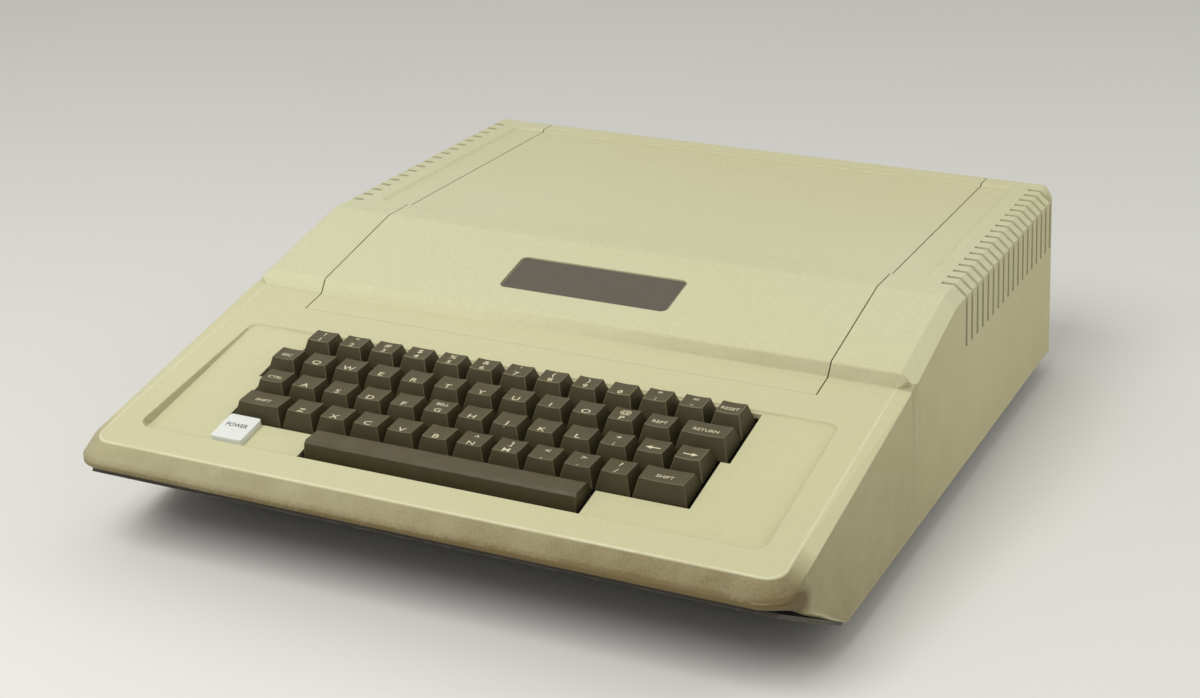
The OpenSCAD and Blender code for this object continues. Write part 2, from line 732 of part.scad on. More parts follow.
module base_pan() color([0.30, 0.30, 0.31]) {
    half = half_w - pan_inset;
    back = overall_d - chin_d - pan_inset;
    corner_r = rear_r - pan_inset;
    difference() {
        translate([0, chin_y, base_z]) across(2*half)
            polygon([[back, 0], [0, 0], flange_point(flange_len, 0), flange_point(flange_len, -pan_t),
                [-pan_t*tan(chin_angle/2), -pan_t], [back, -pan_t]]);
        // rounded rear corners
        for (side = [0, 1]) mirror([side, 0, 0])
            translate([half - corner_r + 0.15, rear_y - pan_inset - corner_r + 0.15, base_z - pan_t - 1])
                difference() {
                    cube([corner_r + 1, corner_r + 1, pan_t + 2]);
                    translate([0, 0, -1]) cylinder(r = corner_r, h = pan_t + 4);
                }
        // slanting ends of the flange
        for (side = [0, 1]) mirror([side, 0, 0])
            translate([0, chin_y, base_z]) rotate([-chin_angle, 0, 0]) translate([0, 0, -10])
                linear_extrude(20)
                polygon([[half + 0.2*flange_taper, -0.4*flange_len], [half + 12, -0.4*flange_len],
                    [half + 12, -1.2*flange_len], [half - 1.4*flange_taper, -1.2*flange_len]]);
        for (side = [-1, 1], y = boss_ys) translate([side*boss_x(y), y, base_z - pan_t - 1])
            cylinder(r = screw_r + screw_gap, h = pan_t + 2);
        for (p = foot_places()) translate([p[0], p[1], base_z - pan_t - 1])
            cylinder(r = foot_r/3 + screw_gap, h = pan_t + 2);
        for (p = logic_posts) translate([logic_x + p[0], logic_rear_y - p[1], base_z - pan_t - 1])
            cylinder(r = screw_r + screw_gap, h = pan_t + 2);
        for (p = supply_posts) translate([supply_x + p[0], supply_rear_y + p[1], base_z - pan_t - 1])
            cylinder(r = screw_r + screw_gap, h = pan_t + 2);
    }
}

// Point at a distance up the base's front flange, from the bend
function flange_point(s, t) = [-s*cos(chin_angle) + t*sin(chin_angle), s*sin(chin_angle) + t*cos(chin_angle)];

function foot_places() = [for (x = [-foot_x, foot_x], y = [foot_rear_y, -foot_front_y]) [x, y]];

module rubber_feet() color([0.12, 0.12, 0.12])
    for (p = foot_places()) translate([p[0], p[1], 0]) {
        rotate_extrude() polygon([[0, 0], [foot_r - 2, 0], [foot_r - 1, 1], [foot_r, foot_h],
            [foot_r/3, foot_h], [foot_r/3, foot_h + pan_t - 0.2], [0, foot_h + pan_t - 0.2]]);
    }

module screw(len) {
    translate([0, 0, -screw_head_h]) cylinder(r = screw_head_r, h = screw_head_h);
    translate([0, 0, -eps]) cylinder(r = screw_r, h = len + eps);
}

module base_screws() color([0.6, 0.6, 0.62])
    for (side = [-1, 1], y = boss_ys) translate([side*boss_x(y), y, base_z - pan_t]) difference() {
        screw(screw_len);
        translate([-screw_head_r, -0.4, -screw_head_h - 1]) cube([2*screw_head_r, 0.8, 1.8]);
    }

// Side view of a key cap: rear foot, rear top, front top, front foot
module cap_side_view(row, shrink, front_inset) {
    back = -cap_gap/2;
    front = -key_pitch + cap_gap/2;
    foot = -cap_foot - shrink;
    polygon([[back - shrink, foot],
        [back - cap_back_inset - shrink, cap_back_h - row*cap_back_fall - shrink],
        [front + front_inset + shrink, cap_front_h - row*cap_front_fall - shrink],
        [front + shrink, foot]]);
}

// Front view of a key cap, centred
module cap_front_view(w, shrink) {
    top = cap_front_h + 1;
    foot = -cap_foot - shrink;
    half = w/2 - cap_gap/2 - shrink;
    inset = cap_side_inset*(top - foot)/(cap_back_h + cap_foot);
    polygon([[-half, foot], [half, foot], [half - inset, top], [-half + inset, top]]);
}

// A cap's outer or inner form
module cap_form(w, row, shrink, front_inset) {
    intersection() {
        across(w) cap_side_view(row, shrink, front_inset);
        translate([0, 2, 0]) rotate([90, 0, 0]) linear_extrude(key_pitch + 4) cap_front_view(w, shrink);
    }
}

// Plunger under a cap
module stem(row) {
    translate([-stem_w/2, -key_pitch/2 - stem_w/2, -stem_foot])
        cube([stem_w, stem_w, stem_foot + cap_back_h - row*cap_back_fall]);
}

// One key, its left edge at X = 0 and its rear edge at Y = 0
module key(units, row) {
    w = units*key_pitch;
    front_inset = cap_front_inset - row*cap_front_gain;
    top_w = w - cap_gap - 2*cap_side_inset;
    dish_r = (top_w*top_w/4 + dish_depth*dish_depth)/(2*dish_depth);
    top_len = key_pitch - cap_gap - cap_back_inset - front_inset;
    rise = cap_front_h - row*cap_front_fall - cap_back_h + row*cap_back_fall;
    translate([w/2, 0, 0]) difference() {
        union() {
            difference() {
                cap_form(w, row, 0, front_inset);
                cap_form(w, row, cap_wall, front_inset);
            }
            stem(row);
        }
        translate([0, -cap_gap/2 - cap_back_inset, cap_back_h - row*cap_back_fall])
            rotate([90 - atan2(rise, top_len), 0, 0]) translate([0, dish_r - dish_depth, -6])
                cylinder(r = dish_r, h = top_len + 12, $fn = 96);
    }
}

// Puts a key at its place: row counted from the rear, start in pitches from the letter Q's left edge
module place_key(start, units, row) {
    on_key_floor() translate([q_x + start*key_pitch, -row*key_pitch, 0]) key(units, row);
}

// A run of single keys in one row
module key_run(start, count, row) {
    for (i = [0:count - 1]) place_key(start + i, 1, row);
}

cap_dark = [0.28, 0.25, 0.18];
module number_key(i) color(cap_dark) place_key(number_start + i, 1, 0);
module key_1() number_key(0);
module key_2() number_key(1);
module key_3() number_key(2);
module key_4() number_key(3);
module key_5() number_key(4);
module key_6() number_key(5);
module key_7() number_key(6);
module key_8() number_key(7);
module key_9() number_key(8);
module key_0() number_key(9);
module key_colon() number_key(10);
module key_minus() number_key(11);
module reset_key() color(cap_dark) place_key(11.5, 1, 0);
module escape_key() color(cap_dark) place_key(-1, 1, 1);
module upper_letter_keys() color(cap_dark) key_run(upper_start, letters_in_row, 1);
module repeat_key() color(cap_dark) place_key(10, 1, 1);
module return_key() color(cap_dark) place_key(11, 1.5, 1);
module control_key() color(cap_dark) place_key(-0.75, 1, 2);
module home_letter_keys() color(cap_dark) key_run(home_start, letters_in_row, 2);
module left_arrow_key() color(cap_dark) place_key(10.25, 1, 2);
module right_arrow_key() color(cap_dark) place_key(11.25, 1, 2);
module left_shift_key() color(cap_dark) place_key(-0.75, 1.5, 3);
module lower_letter_keys() color(cap_dark) key_run(lower_start, letters_in_row, 3);
module right_shift_key() color(cap_dark) place_key(10.75, 1.5, 3);

// The space bar's outer or inner form
module bar_form(shrink) {
    w = space_units*key_pitch;
    back = -cap_gap/2 - shrink;
    front = -key_pitch + cap_gap/2 + shrink;
    foot = -cap_foot - shrink;
    back_h = cap_back_h - 4*cap_back_fall - shrink;
    front_h = cap_front_h - 4*cap_front_fall - shrink;
    intersection() {
        across(w) polygon([[back, foot], [back - cap_back_inset - 1.6, back_h],
            [front + 3.8, front_h], [front + 2, front_h - 1.1], [front, foot]]);
        translate([0, 2, 0]) rotate([90, 0, 0]) linear_extrude(key_pitch + 4)
            polygon([[-w/2 + cap_gap/2 + shrink, foot], [w/2 - cap_gap/2 - shrink, foot],
                [w/2 - 1.2 - shrink, cap_front_h], [-w/2 + 1.2 + shrink, cap_front_h]]);
    }
}

// The space bar: a long cap with a plunger and two guide legs
module space_bar() color(cap_dark)
    on_key_floor() translate([q_x + space_middle*key_pitch, -4*key_pitch, 0]) {
        difference() {
            bar_form(0);
            bar_form(cap_wall);
        }
        for (x = [-space_guide*key_pitch, 0, space_guide*key_pitch])
            translate([x - stem_w/2, -key_pitch/2 - stem_w/2, -stem_foot])
                cube([stem_w, stem_w, stem_foot + cap_back_h - 4*cap_back_fall - cap_wall + 0.3]);
    }

// Middles of all switches on the key floor
function switch_places() = [
    for (i = [0:12]) [number_start + i + 0.5, 0],
    [-0.5, 1], for (i = [0:letters_in_row]) [upper_start + i + 0.5, 1], [11.75, 1],
    [-0.25, 2], for (i = [0:letters_in_row + 1]) [home_start + i + 0.5, 2],
    [0, 3], for (i = [0:letters_in_row - 1]) [lower_start + i + 0.5, 3], [11.5, 3],
    for (k = [-1:1]) [space_middle + k*space_guide, 4]];

// Puts its children at the middle of every switch, on the plate's top
module at_switches() {
    on_key_floor() for (p = switch_places())
        translate([q_x + p[0]*key_pitch, -(p[1] + 0.5)*key_pitch, -plate_depth]) children();
}

module plate_outline(t) {
    translate([plate_x[0], plate_y[1], 0]) cube([plate_x[1] - plate_x[0], plate_y[0] - plate_y[1], t]);
}

module key_plate() color([0.2, 0.2, 0.2])
    difference() {
        on_key_floor() translate([0, 0, -plate_depth - plate_t]) plate_outline(plate_t);
        at_switches() translate([0, 0, -1]) cube([switch_w + 0.2, switch_w + 0.2, 6], center = true);
        on_key_floor() for (x = plate_boss_x, y = plate_boss_y)
            translate([x, y, -plate_depth - 4]) cylinder(r = screw_r + screw_gap, h = 6);
    }

module key_switches() color([0.88, 0.87, 0.82])
    difference() {
        at_switches() {
            translate([-switch_flange_w/2, -switch_flange_w/2, 0])
                cube([switch_flange_w, switch_flange_w, switch_flange_t]);
            translate([-switch_w/2, -switch_w/2, -switch_depth])
                cube([switch_w, switch_w, switch_depth + eps]);
        }
        at_switches() translate([-stem_w/2 - stem_gap, -stem_w/2 - stem_gap, -switch_depth + switch_floor_t])
            cube([stem_w + 2*stem_gap, stem_w + 2*stem_gap, switch_depth + switch_flange_t + 1]);
    }

module keyboard_board() color([0.16, 0.36, 0.22])
    on_key_floor() translate([0, 0, -switch_foot - board_t]) intersection() {
        plate_outline(board_t);
        translate([plate_x[0] + 9, plate_y[1] + 1, 0])
            cube([plate_x[1] - plate_x[0] - 18, plate_y[0] - plate_y[1] - 2, board_t]);
    }

// Encoder board on four posts under the keyboard's board
encoder_drop = 8;
encoder_w = 120;
encoder_len = 58;
module encoder_board() color([0.16, 0.38, 0.24])
    on_key_floor() translate([keyboard_x, -34, -switch_foot - board_t - encoder_drop]) {
        translate([-encoder_w/2, -encoder_len/2, -board_t]) cube([encoder_w, encoder_len, board_t]);
        for (sx = [-1, 1], sy = [-1, 1])
            translate([sx*(encoder_w/2 - 5), sy*(encoder_len/2 - 5), -eps])
                cylinder(r = 2.5, h = encoder_drop + eps);
        for (i = [-1:1]) translate([i*36 - 10, -14, -board_t - 3.4]) cube([20, 7, 3.4 + eps]);
        translate([-26, 10, -board_t - 4.2]) cube([52, 14, 4.2 + eps]);
    }

// Ribbon cable from the encoder board down to its socket on the logic board
ribbon_w = 20;
ribbon_t = 1.2;
function floor_point(y, z) = [keyboard_y + y*cos(key_tilt) - z*sin(key_tilt),
    base_z + keyboard_z + y*sin(key_tilt) + z*cos(key_tilt)];
module keyboard_ribbon() color([0.55, 0.56, 0.58]) {
    start = floor_point(-34 - encoder_len/2 + 8, -switch_foot - 2*board_t - encoder_drop);
    socket_y = start[0] + 26;
    foot = [socket_y, logic_top + 6];
    bend = [start[0] - 2, (start[1] + foot[1])/2];
    translate([keyboard_x + 24, 0, 0]) {
        across(ribbon_w) {
            polygon([[start[0] + ribbon_t, start[1] - 0.2], start, bend, [foot[0] - 2, foot[1]],
                [foot[0] + ribbon_t, foot[1]], [foot[0] - 0.6 + ribbon_t, foot[1] + ribbon_t],
                [bend[0] + ribbon_t*1.2, bend[1] + ribbon_t]]);
        }
        translate([-ribbon_w/2, foot[0] - 4, logic_top]) cube([ribbon_w, 8, 6]);
    }
}

module keyboard_screws() color([0.6, 0.6, 0.62])
    on_key_floor() for (x = plate_boss_x, y = plate_boss_y)
        translate([x, y, -plate_depth - plate_t]) screw(plate_t + 5);

module power_lamp_cover() color([0.93, 0.93, 0.9])
    on_key_floor() translate([lamp_x, -lamp_y, 0]) difference() {
        union() {
            translate([0, 0, 0]) round_box(lamp_w, lamp_d, lamp_h, 1.5);
            translate([0, 0, -wall - 1]) round_box(lamp_w - 4.6, lamp_d - 4.6, wall + 1 + eps, 1);
        }
        translate([0, 0, -wall - 2]) round_box(lamp_w - 7.6, lamp_d - 7.6, wall + lamp_h, 0.6);
    }

module power_lamp() color([0.9, 0.85, 0.6])
    on_key_floor() translate([lamp_x, -lamp_y, -plate_depth]) {
        cylinder(r = 4, h = 3);
        translate([0, 0, 3 - eps]) cylinder(r = 2.6, h = 4);
        translate([0, 0, 7 - eps]) sphere(r = 2.6);
    }

module logic_board() color([0.12, 0.36, 0.2])
    difference() {
        translate([logic_x, logic_rear_y - logic_len, base_z + logic_z]) cube([logic_w, logic_len, board_t]);
        for (p = logic_posts) translate([logic_x + p[0], logic_rear_y - p[1], base_z + logic_z - 1])
            cylinder(r = screw_r + screw_gap, h = board_t + 2);
    }

module board_standoffs() color([0.92, 0.92, 0.9])
    for (p = logic_posts) translate([logic_x + p[0], logic_rear_y - p[1], base_z]) {
        cylinder(r = 3.4, h = logic_z);
        translate([0, 0, -pan_t - 1]) cylinder(r = screw_r, h = pan_t + logic_z + board_t + 3);
    }

module card_slots() color([0.13, 0.32, 0.28])
    for (i = [0:slot_count - 1]) translate([slot_first_x + i*slot_pitch, slot_y, logic_top]) difference() {
        translate([-slot_w/2, -slot_len/2, 0]) cube([slot_w, slot_len, slot_h]);
        translate([-slot_groove/2, -slot_len/2 + 3, 3]) cube([slot_groove, slot_len - 6, slot_h]);
        translate([-slot_w/2 + 2, -slot_len/2 + 3, slot_h - 1]) cube([slot_w - 4, slot_len - 6, 2]);
    }

// A chip pressed into its socket
module chip(len, w) {
    translate([-len/2, -w/2 - 1, 0]) cube([len, w + 2, socket_h]);
    translate([-len/2 + 0.4, -w/2, socket_h - eps]) cube([len - 0.8, w, chip_h]);
}

module processor_chip() color([0.12, 0.12, 0.13])
    translate([logic_x + 100, slot_y - slot_len/2 - 26, logic_top]) chip(processor_len, wide_chip_w);

module memory_chips() color([0.14, 0.14, 0.15])
    for (col = [0:7], row = [0:2])
        translate([logic_x + 2*memory_pitch + col*memory_pitch, slot_y - 160 - row*chip_row_pitch, logic_top])
            chip(chip_len, chip_w);

module logic_chips() color([0.15, 0.15, 0.16]) {
    for (col = [0:7], row = [0:1])
        translate([logic_x + 22 + col*logic_pitch, slot_y - slot_len/2 - 50 - row*chip_row_pitch, logic_top])
            chip(chip_len, chip_w);
    for (col = [0:5]) translate([logic_x + 28 + col*wide_pitch, slot_y - slot_len/2 - 88, logic_top])
        chip(wide_chip_len, wide_chip_w);
}

module game_socket() color([0.1, 0.1, 0.11])
    translate([logic_x + logic_w - 13, slot_y - slot_len/2 - 22, logic_top]) difference() {
        translate([-5, -11, 0]) cube([10, 22, 5]);
        for (i = [0:7], side = [-1, 1]) translate([side*3.8 - 0.4, -9.6 + i*2.54, 1.5]) cube([0.8, 0.8, 5]);
    }

module video_jack() color([0.75, 0.75, 0.76])
    translate([video_x, logic_rear_y, jack_z]) {
        difference() {
            union() {
                translate([-5.5, -14, -jack_z + logic_top]) cube([11, 14, 12]);
                rotate([-90, 0, 0]) cylinder(r = video_sleeve_r, h = wall + logic_rear_gap + 0.01);
            }
            translate([0, -9, 0]) rotate([-90, 0, 0]) cylinder(r = video_bore_r, h = 20);
        }
    }

module cassette_jacks() color([0.16, 0.16, 0.17])
    for (x = cassette_x) translate([x, logic_rear_y, jack_z]) difference() {
        union() {
            translate([-jack_body_w/2, -14, -jack_z + logic_top]) cube([jack_body_w, 14, 11]);
            rotate([-90, 0, 0]) cylinder(r = jack_bore_r + 1.8, h = wall + logic_rear_gap - 0.5);
        }
        translate([0, -12, 0]) rotate([-90, 0, 0]) cylinder(r = jack_bore_r, h = 30);
    }

module speaker_frame() color([0.35, 0.35, 0.36])
    translate([speaker_pos[0], speaker_pos[1], base_z]) {
        cylinder(r = speaker_r/2, h = 9);
        difference() {
            translate([0, 0, 9 - eps]) cylinder(r1 = speaker_r*0.6, r2 = speaker_r, h = 11);
            translate([0, 0, 10.2]) cylinder(r1 = speaker_r*0.6 - 1, r2 = speaker_r - 1, h = 11);
        }
    }

module speaker_cone() color([0.2, 0.19, 0.17])
    translate([speaker_pos[0], speaker_pos[1], base_z + 10.2])
        rotate_extrude() polygon([[0, 0], [speaker_r*0.25, 0], [speaker_r - 4.2, 8.4], [speaker_r - 4.2, 9.2],
            [speaker_r*0.25, 1], [0, 1]]);

module supply_box() color([0.72, 0.73, 0.74])
    difference() {
        translate([supply_x, supply_rear_y - supply_len, base_z])
            cube([supply_w, supply_len, supply_h - sheet_t]);
        translate([supply_x + sheet_t, supply_rear_y - supply_len + sheet_t, base_z + sheet_t])
            cube([supply_w - 2*sheet_t, supply_len - 2*sheet_t, supply_h]);
        translate([inlet_x - inlet_w/2 + 3, supply_rear_y - 4, inlet_z - inlet_h/2 + 2])
            cube([inlet_w - 6, 8, inlet_h - 4]);
        translate([switch_x - rocker_w/2 - 1.6, supply_rear_y - 4, switch_z - rocker_h/2 - 1.6])
            cube([rocker_w + 3.2, 8, rocker_h + 3.2]);
        translate([supply_right - 4, cable_y, base_z + 22]) rotate([0, 90, 0])
            cylinder(r = harness_r + 0.4, h = 8);
        for (p = supply_posts) translate([supply_x + p[0], supply_rear_y + p[1], base_z - 1])
            cylinder(r = screw_r + screw_gap, h = 4);
    }

module supply_cover() color([0.76, 0.77, 0.78])
    translate([supply_x, supply_rear_y - supply_len, base_z + supply_h - sheet_t]) difference() {
        cube([supply_w, supply_len, sheet_t]);
        for (i = [0:6], side = [0, 1]) translate([18 + side*(supply_w - 60), 40 + i*9, -1]) cube([24, 3, 4]);
    }

module supply_transformer() color([0.5, 0.42, 0.25])
    translate([supply_x + supply_w/2, supply_rear_y - 160, base_z + sheet_t + board_t + 5]) {
        translate([-transformer_w/2, -transformer_len/2, 0])
            cube([transformer_w, transformer_len, transformer_h]);
        translate([-transformer_w/2 + 9, -transformer_len/2 - 6, 5])
            cube([transformer_w - 18, transformer_len + 12, transformer_h - 10]);
    }

module supply_board() color([0.72, 0.6, 0.32]) {
    translate([supply_x + 6, supply_rear_y - supply_len + 8, base_z + sheet_t + 5])
        cube([supply_w - 12, supply_len - 50, board_t]);
    for (x = [12, supply_w - 12], y = [14, supply_len - 48])
        translate([supply_x + x, supply_rear_y - supply_len + y, base_z + sheet_t])
            cylinder(r = 3, h = 5 + eps);
    for (i = [0:2]) translate([supply_x + 22 + i*24, supply_rear_y - supply_len + 34,
        base_z + sheet_t + 5 + board_t - eps]) cylinder(r = 9, h = 32);
    for (side = [0, 1]) translate([supply_x + 20 + side*(supply_w - 44), supply_rear_y - 118,
        base_z + sheet_t + 5 + board_t - eps]) cube([4, 40, 38]);
}

module mains_inlet() color([0.1, 0.1, 0.1])
    translate([inlet_x, supply_rear_y, inlet_z]) {
        difference() {
            union() {
                translate([-inlet_w/2, 0, -inlet_h/2]) cube([inlet_w, flange_t, inlet_h]);
                translate([-inlet_w/2 + 3.2, -19, -inlet_h/2 + 2.2])
                    cube([inlet_w - 6.4, 19 + eps, inlet_h - 4.4]);
            }
            translate([-inlet_w/2 + 4.7, -16, -inlet_h/2 + 3.7]) cube([inlet_w - 9.4, 20, inlet_h - 7.4]);
        }
        for (x = [-6, 0, 6]) translate([x - 1, -16.5, x == 0 ? 0.5 : -3.5]) cube([2, 11, 4]);
    }

// Distance of the rocker's pivot behind the panel's outer face
rocker_depth = 4.4;
module switch_housing() color([0.13, 0.13, 0.13])
    translate([switch_x, supply_rear_y, switch_z]) difference() {
        union() {
            translate([-rocker_w/2 - 3, 0, -rocker_h/2 - 3]) cube([rocker_w + 6, flange_t, rocker_h + 6]);
            translate([-rocker_w/2 - 1.5, -17, -rocker_h/2 - 1.5])
                cube([rocker_w + 3, 17 + eps, rocker_h + 3]);
        }
        translate([-rocker_w/2 - 0.4, -15, -rocker_h/2 - 0.3]) cube([rocker_w + 0.8, 20, rocker_h + 0.6]);
        translate([0, -rocker_depth, -rocker_h/2 - 1.6]) cylinder(r = 1.55, h = rocker_h + 3.2);
    }

module power_rocker() color([0.08, 0.08, 0.08])
    translate([switch_x, supply_rear_y - rocker_depth, switch_z]) rotate([0, 0, -rocker_swing/2]) {
        intersection() {
            cylinder(r = rocker_w/2, h = rocker_h, center = true, $fn = 96);
            translate([0, 0, -rocker_h/2]) linear_extrude(rocker_h)
                polygon([[-rocker_w/2, -2.4], [rocker_w/2, -2.4],
                    [rocker_w/2, rocker_depth - 0.4 + rocker_w/2*tan(rocker_swing/2)], [0, rocker_depth - 0.4],
                    [-rocker_w/2, rocker_depth - 0.4 + rocker_w/2*tan(rocker_swing/2)]]);
        }
        cylinder(r = 1.5, h = rocker_h + 2.6, center = true);
    }

// Supply cable from the box to its plug on the logic board
harness_r = 3.5;
cable_y = 60;
module wiring() color([0.2, 0.2, 0.22]) {
    plug_x = logic_x + 6;
    run_z = base_z + 22;
    translate([supply_right - 8, cable_y, run_z]) rotate([0, 90, 0])
        cylinder(r = harness_r, h = plug_x - supply_right + 8);
    translate([plug_x, cable_y, run_z]) sphere(r = harness_r);
    translate([plug_x, cable_y, logic_top + 3]) cylinder(r = harness_r, h = run_z - logic_top - 3);
    translate([plug_x - 5, cable_y - 12, logic_top]) cube([10, 24, 5]);
}

module supply_screws() color([0.6, 0.6, 0.62])
    for (p = supply_posts)
        translate([supply_x + p[0], supply_rear_y + p[1], base_z - pan_t]) screw(pan_t + 4);

top_case();
lid();
lid_catches();
name_plate();
base_pan();
rubber_feet();
base_screws();
key_plate();
key_switches();
keyboard_board();
encoder_board();
keyboard_ribbon();
keyboard_screws();
power_lamp_cover();
power_lamp();
logic_board();
card_slots();
processor_chip();
memory_chips();
logic_chips();
game_socket();
board_standoffs();
video_jack();
cassette_jacks();
speaker_frame();
speaker_cone();
supply_box();
supply_cover();
supply_transformer();
supply_board();
mains_inlet();
switch_housing();
power_rocker();
wiring();
supply_screws();
key_1();
key_2();
key_3();
key_4();
key_5();
key_6();
key_7();
key_8();
key_9();
key_0();
key_colon();
key_minus();
reset_key();
escape_key();
repeat_key();
return_key();
control_key();
left_arrow_key();
right_arrow_key();
left_shift_key();
right_shift_key();
space_bar();
upper_letter_keys();
home_letter_keys();
lower_letter_keys();
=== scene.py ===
import functools
import itertools
import json
import math

import bmesh
import bpy
from bpy.props import FloatProperty, FloatVectorProperty, IntProperty, PointerProperty
from mathutils import Matrix, Vector
from mathutils.bvhtree import BVHTree

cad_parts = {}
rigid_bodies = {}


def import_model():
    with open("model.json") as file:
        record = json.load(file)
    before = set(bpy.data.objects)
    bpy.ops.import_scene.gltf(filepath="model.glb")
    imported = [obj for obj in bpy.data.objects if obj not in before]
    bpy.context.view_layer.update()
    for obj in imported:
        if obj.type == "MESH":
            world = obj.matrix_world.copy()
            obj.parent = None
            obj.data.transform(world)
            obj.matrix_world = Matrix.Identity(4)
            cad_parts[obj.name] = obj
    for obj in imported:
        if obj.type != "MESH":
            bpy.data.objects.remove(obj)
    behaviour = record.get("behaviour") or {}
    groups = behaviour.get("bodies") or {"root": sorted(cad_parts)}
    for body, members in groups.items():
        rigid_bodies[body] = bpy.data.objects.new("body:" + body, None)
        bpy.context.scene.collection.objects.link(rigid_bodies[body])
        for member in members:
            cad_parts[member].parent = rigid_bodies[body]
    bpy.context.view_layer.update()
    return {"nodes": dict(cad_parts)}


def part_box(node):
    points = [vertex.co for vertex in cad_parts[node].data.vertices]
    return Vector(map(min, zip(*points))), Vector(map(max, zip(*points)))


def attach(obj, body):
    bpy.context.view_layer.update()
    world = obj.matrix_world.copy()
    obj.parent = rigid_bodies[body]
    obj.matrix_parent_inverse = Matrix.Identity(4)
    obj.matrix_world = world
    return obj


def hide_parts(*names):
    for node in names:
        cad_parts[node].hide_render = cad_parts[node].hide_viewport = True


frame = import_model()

bl_info = {
    "name": "Home computer looks",
    "version": (1, 0, 0),
    "blender": (4, 5, 0),
    "location": "View3D > Sidebar > Home computer",
    "description": "Dresses a packed wedge-shaped home computer in its plastics, legends and boards",
    "category": "Object",
}

MM = 0.001


def screen(red, green, blue):
    """A colour as a screen shows it, 0 to 255, as the linear values that Blender keeps."""
    def linear(value):
        value /= 255
        return value/12.92 if value <= 0.04045 else ((value + 0.055)/1.055)**2.4
    return (linear(red), linear(green), linear(blue), 1.0)


def shaded(shade, factor, lift=0.0):
    """A colour made darker or brighter."""
    return (*[min(1, part*factor + lift) for part in shade[:3]], 1.0)


def colour(name, description, *shade):
    return FloatVectorProperty(name=name, description=description, default=screen(*shade), size=4,
                               subtype="COLOR", min=0.0, max=1.0)


def length(name, description, millimetres):
    return FloatProperty(name=name, description=description, default=millimetres*MM, min=0.0,
                         subtype="DISTANCE", unit="LENGTH", precision=5)


def position(name, description, *metres):
    return FloatVectorProperty(name=name, description=description, default=metres, size=3,
                               subtype="TRANSLATION", unit="LENGTH")


def power(name, description, watts):
    return FloatProperty(name=name, description=description, default=watts, min=0.0, unit="POWER")


# ---- sizes and colours

class CasePlastic(bpy.types.PropertyGroup):
    colour: colour("Plastic", "Moulded plastic that kept its colour", 209, 209, 173)
    aged: colour("Aged plastic", "Plastic that light has yellowed", 206, 199, 154)
    # the colour of the rubbed edges, and of the painted highlight along the deck's front edge
    wear_and_highlight: colour("Worn edges", "Rubbed plastic along the edges", 226, 222, 192)
    # the colour of the lip's grime, and of painted shade on the lip, the step, low on the sides and in
    # crevices
    soil_and_shade: colour("Grime", "Handling dirt along the front lip", 102, 86, 50)
    inside: colour("Raw inside", "Plastic of the lid's catches", 172, 162, 128)
    edge_radius: length("Edge radius", "Softness of the moulded edges", 0.75)
    grain: length("Grain", "Size of the moulded grain", 0.62)
    grain_depth: length("Grain depth", "Height of the moulded grain", 0.09)


class KeyCaps(bpy.types.PropertyGroup):
    colour: colour("Caps", "Dark brown of the key caps", 82, 75, 48)
    # the colour of the caps' rubbed edges, and of the painted highlight on their bevel faces
    wear_and_highlight: colour("Worn edges", "Polished edges of the caps", 126, 117, 84)
    legend: colour("Legends", "Second-shot plastic of the legends", 222, 216, 180)
    pitch: length("Key pitch", "Distance between two keys", 19.05)
    edge_radius: length("Edge radius", "Rounding of a cap's edges", 0.32)
    letter: length("Letter height", "Height of a letter or number", 3.6)
    symbol: length("Symbol height", "Height of a sign over a number", 3.4)
    word: length("Word height", "Height of the letters in a word", 2.5)
    proud: length("Legend height", "Height of a legend over its cap", 0.02)
    margin: length("Legend margin", "From a cap's front edge to its letter", 0.55)


class NamePlateAndLamp(bpy.types.PropertyGroup):
    plate: colour("Plate", "Satin paint of the bare name plate", 86, 79, 63)
    rim: colour("Plate rim", "Bright rim of the plate", 150, 143, 122)
    rim_width: length("Rim width", "Width of the plate's rim", 0.7)
    plate_radius: length("Plate edge radius", "Rounding of the plate's edges", 0.25)
    cover: colour("Lamp cover", "White milky plastic of the lamp cover", 226, 229, 223)
    scuffs: colour("Scuffs", "Soiled scratches on the cover's front", 196, 192, 178)
    bulb: colour("Bulb", "Warm glass of the lamp", 210, 196, 150)
    word: colour("Lamp word", "Dark print on the lamp cover", 52, 48, 44)
    word_height: length("Word height", "Height of the printed letters", 3.0)
    word_behind: length("Word offset", "From the cover's middle back to the word", 1.6)
    proud: length("Print height", "Height of the word over the cover", 0.02)
    edge_radius: length("Edge radius", "Rounding of the lamp cover's edges", 0.9)


class BaseAndRear(bpy.types.PropertyGroup):
    paint: colour("Base paint", "Dark baked paint on the base pan", 58, 52, 42)
    dust: colour("Dust", "Dust on the base pan", 96, 88, 72)
    steel: colour("Bare steel", "Steel under the paint, and screws", 176, 172, 164)
    rubber: colour("Rubber", "Feet", 38, 36, 34)
    black_plastic: colour("Black plastic", "Inlet, switch and sockets", 34, 33, 32)
    jacks: colour("Jacks", "Plated metal of the jacks", 190, 186, 174)
    supply: colour("Supply case", "Brushed metal of the supply box", 186, 182, 170)


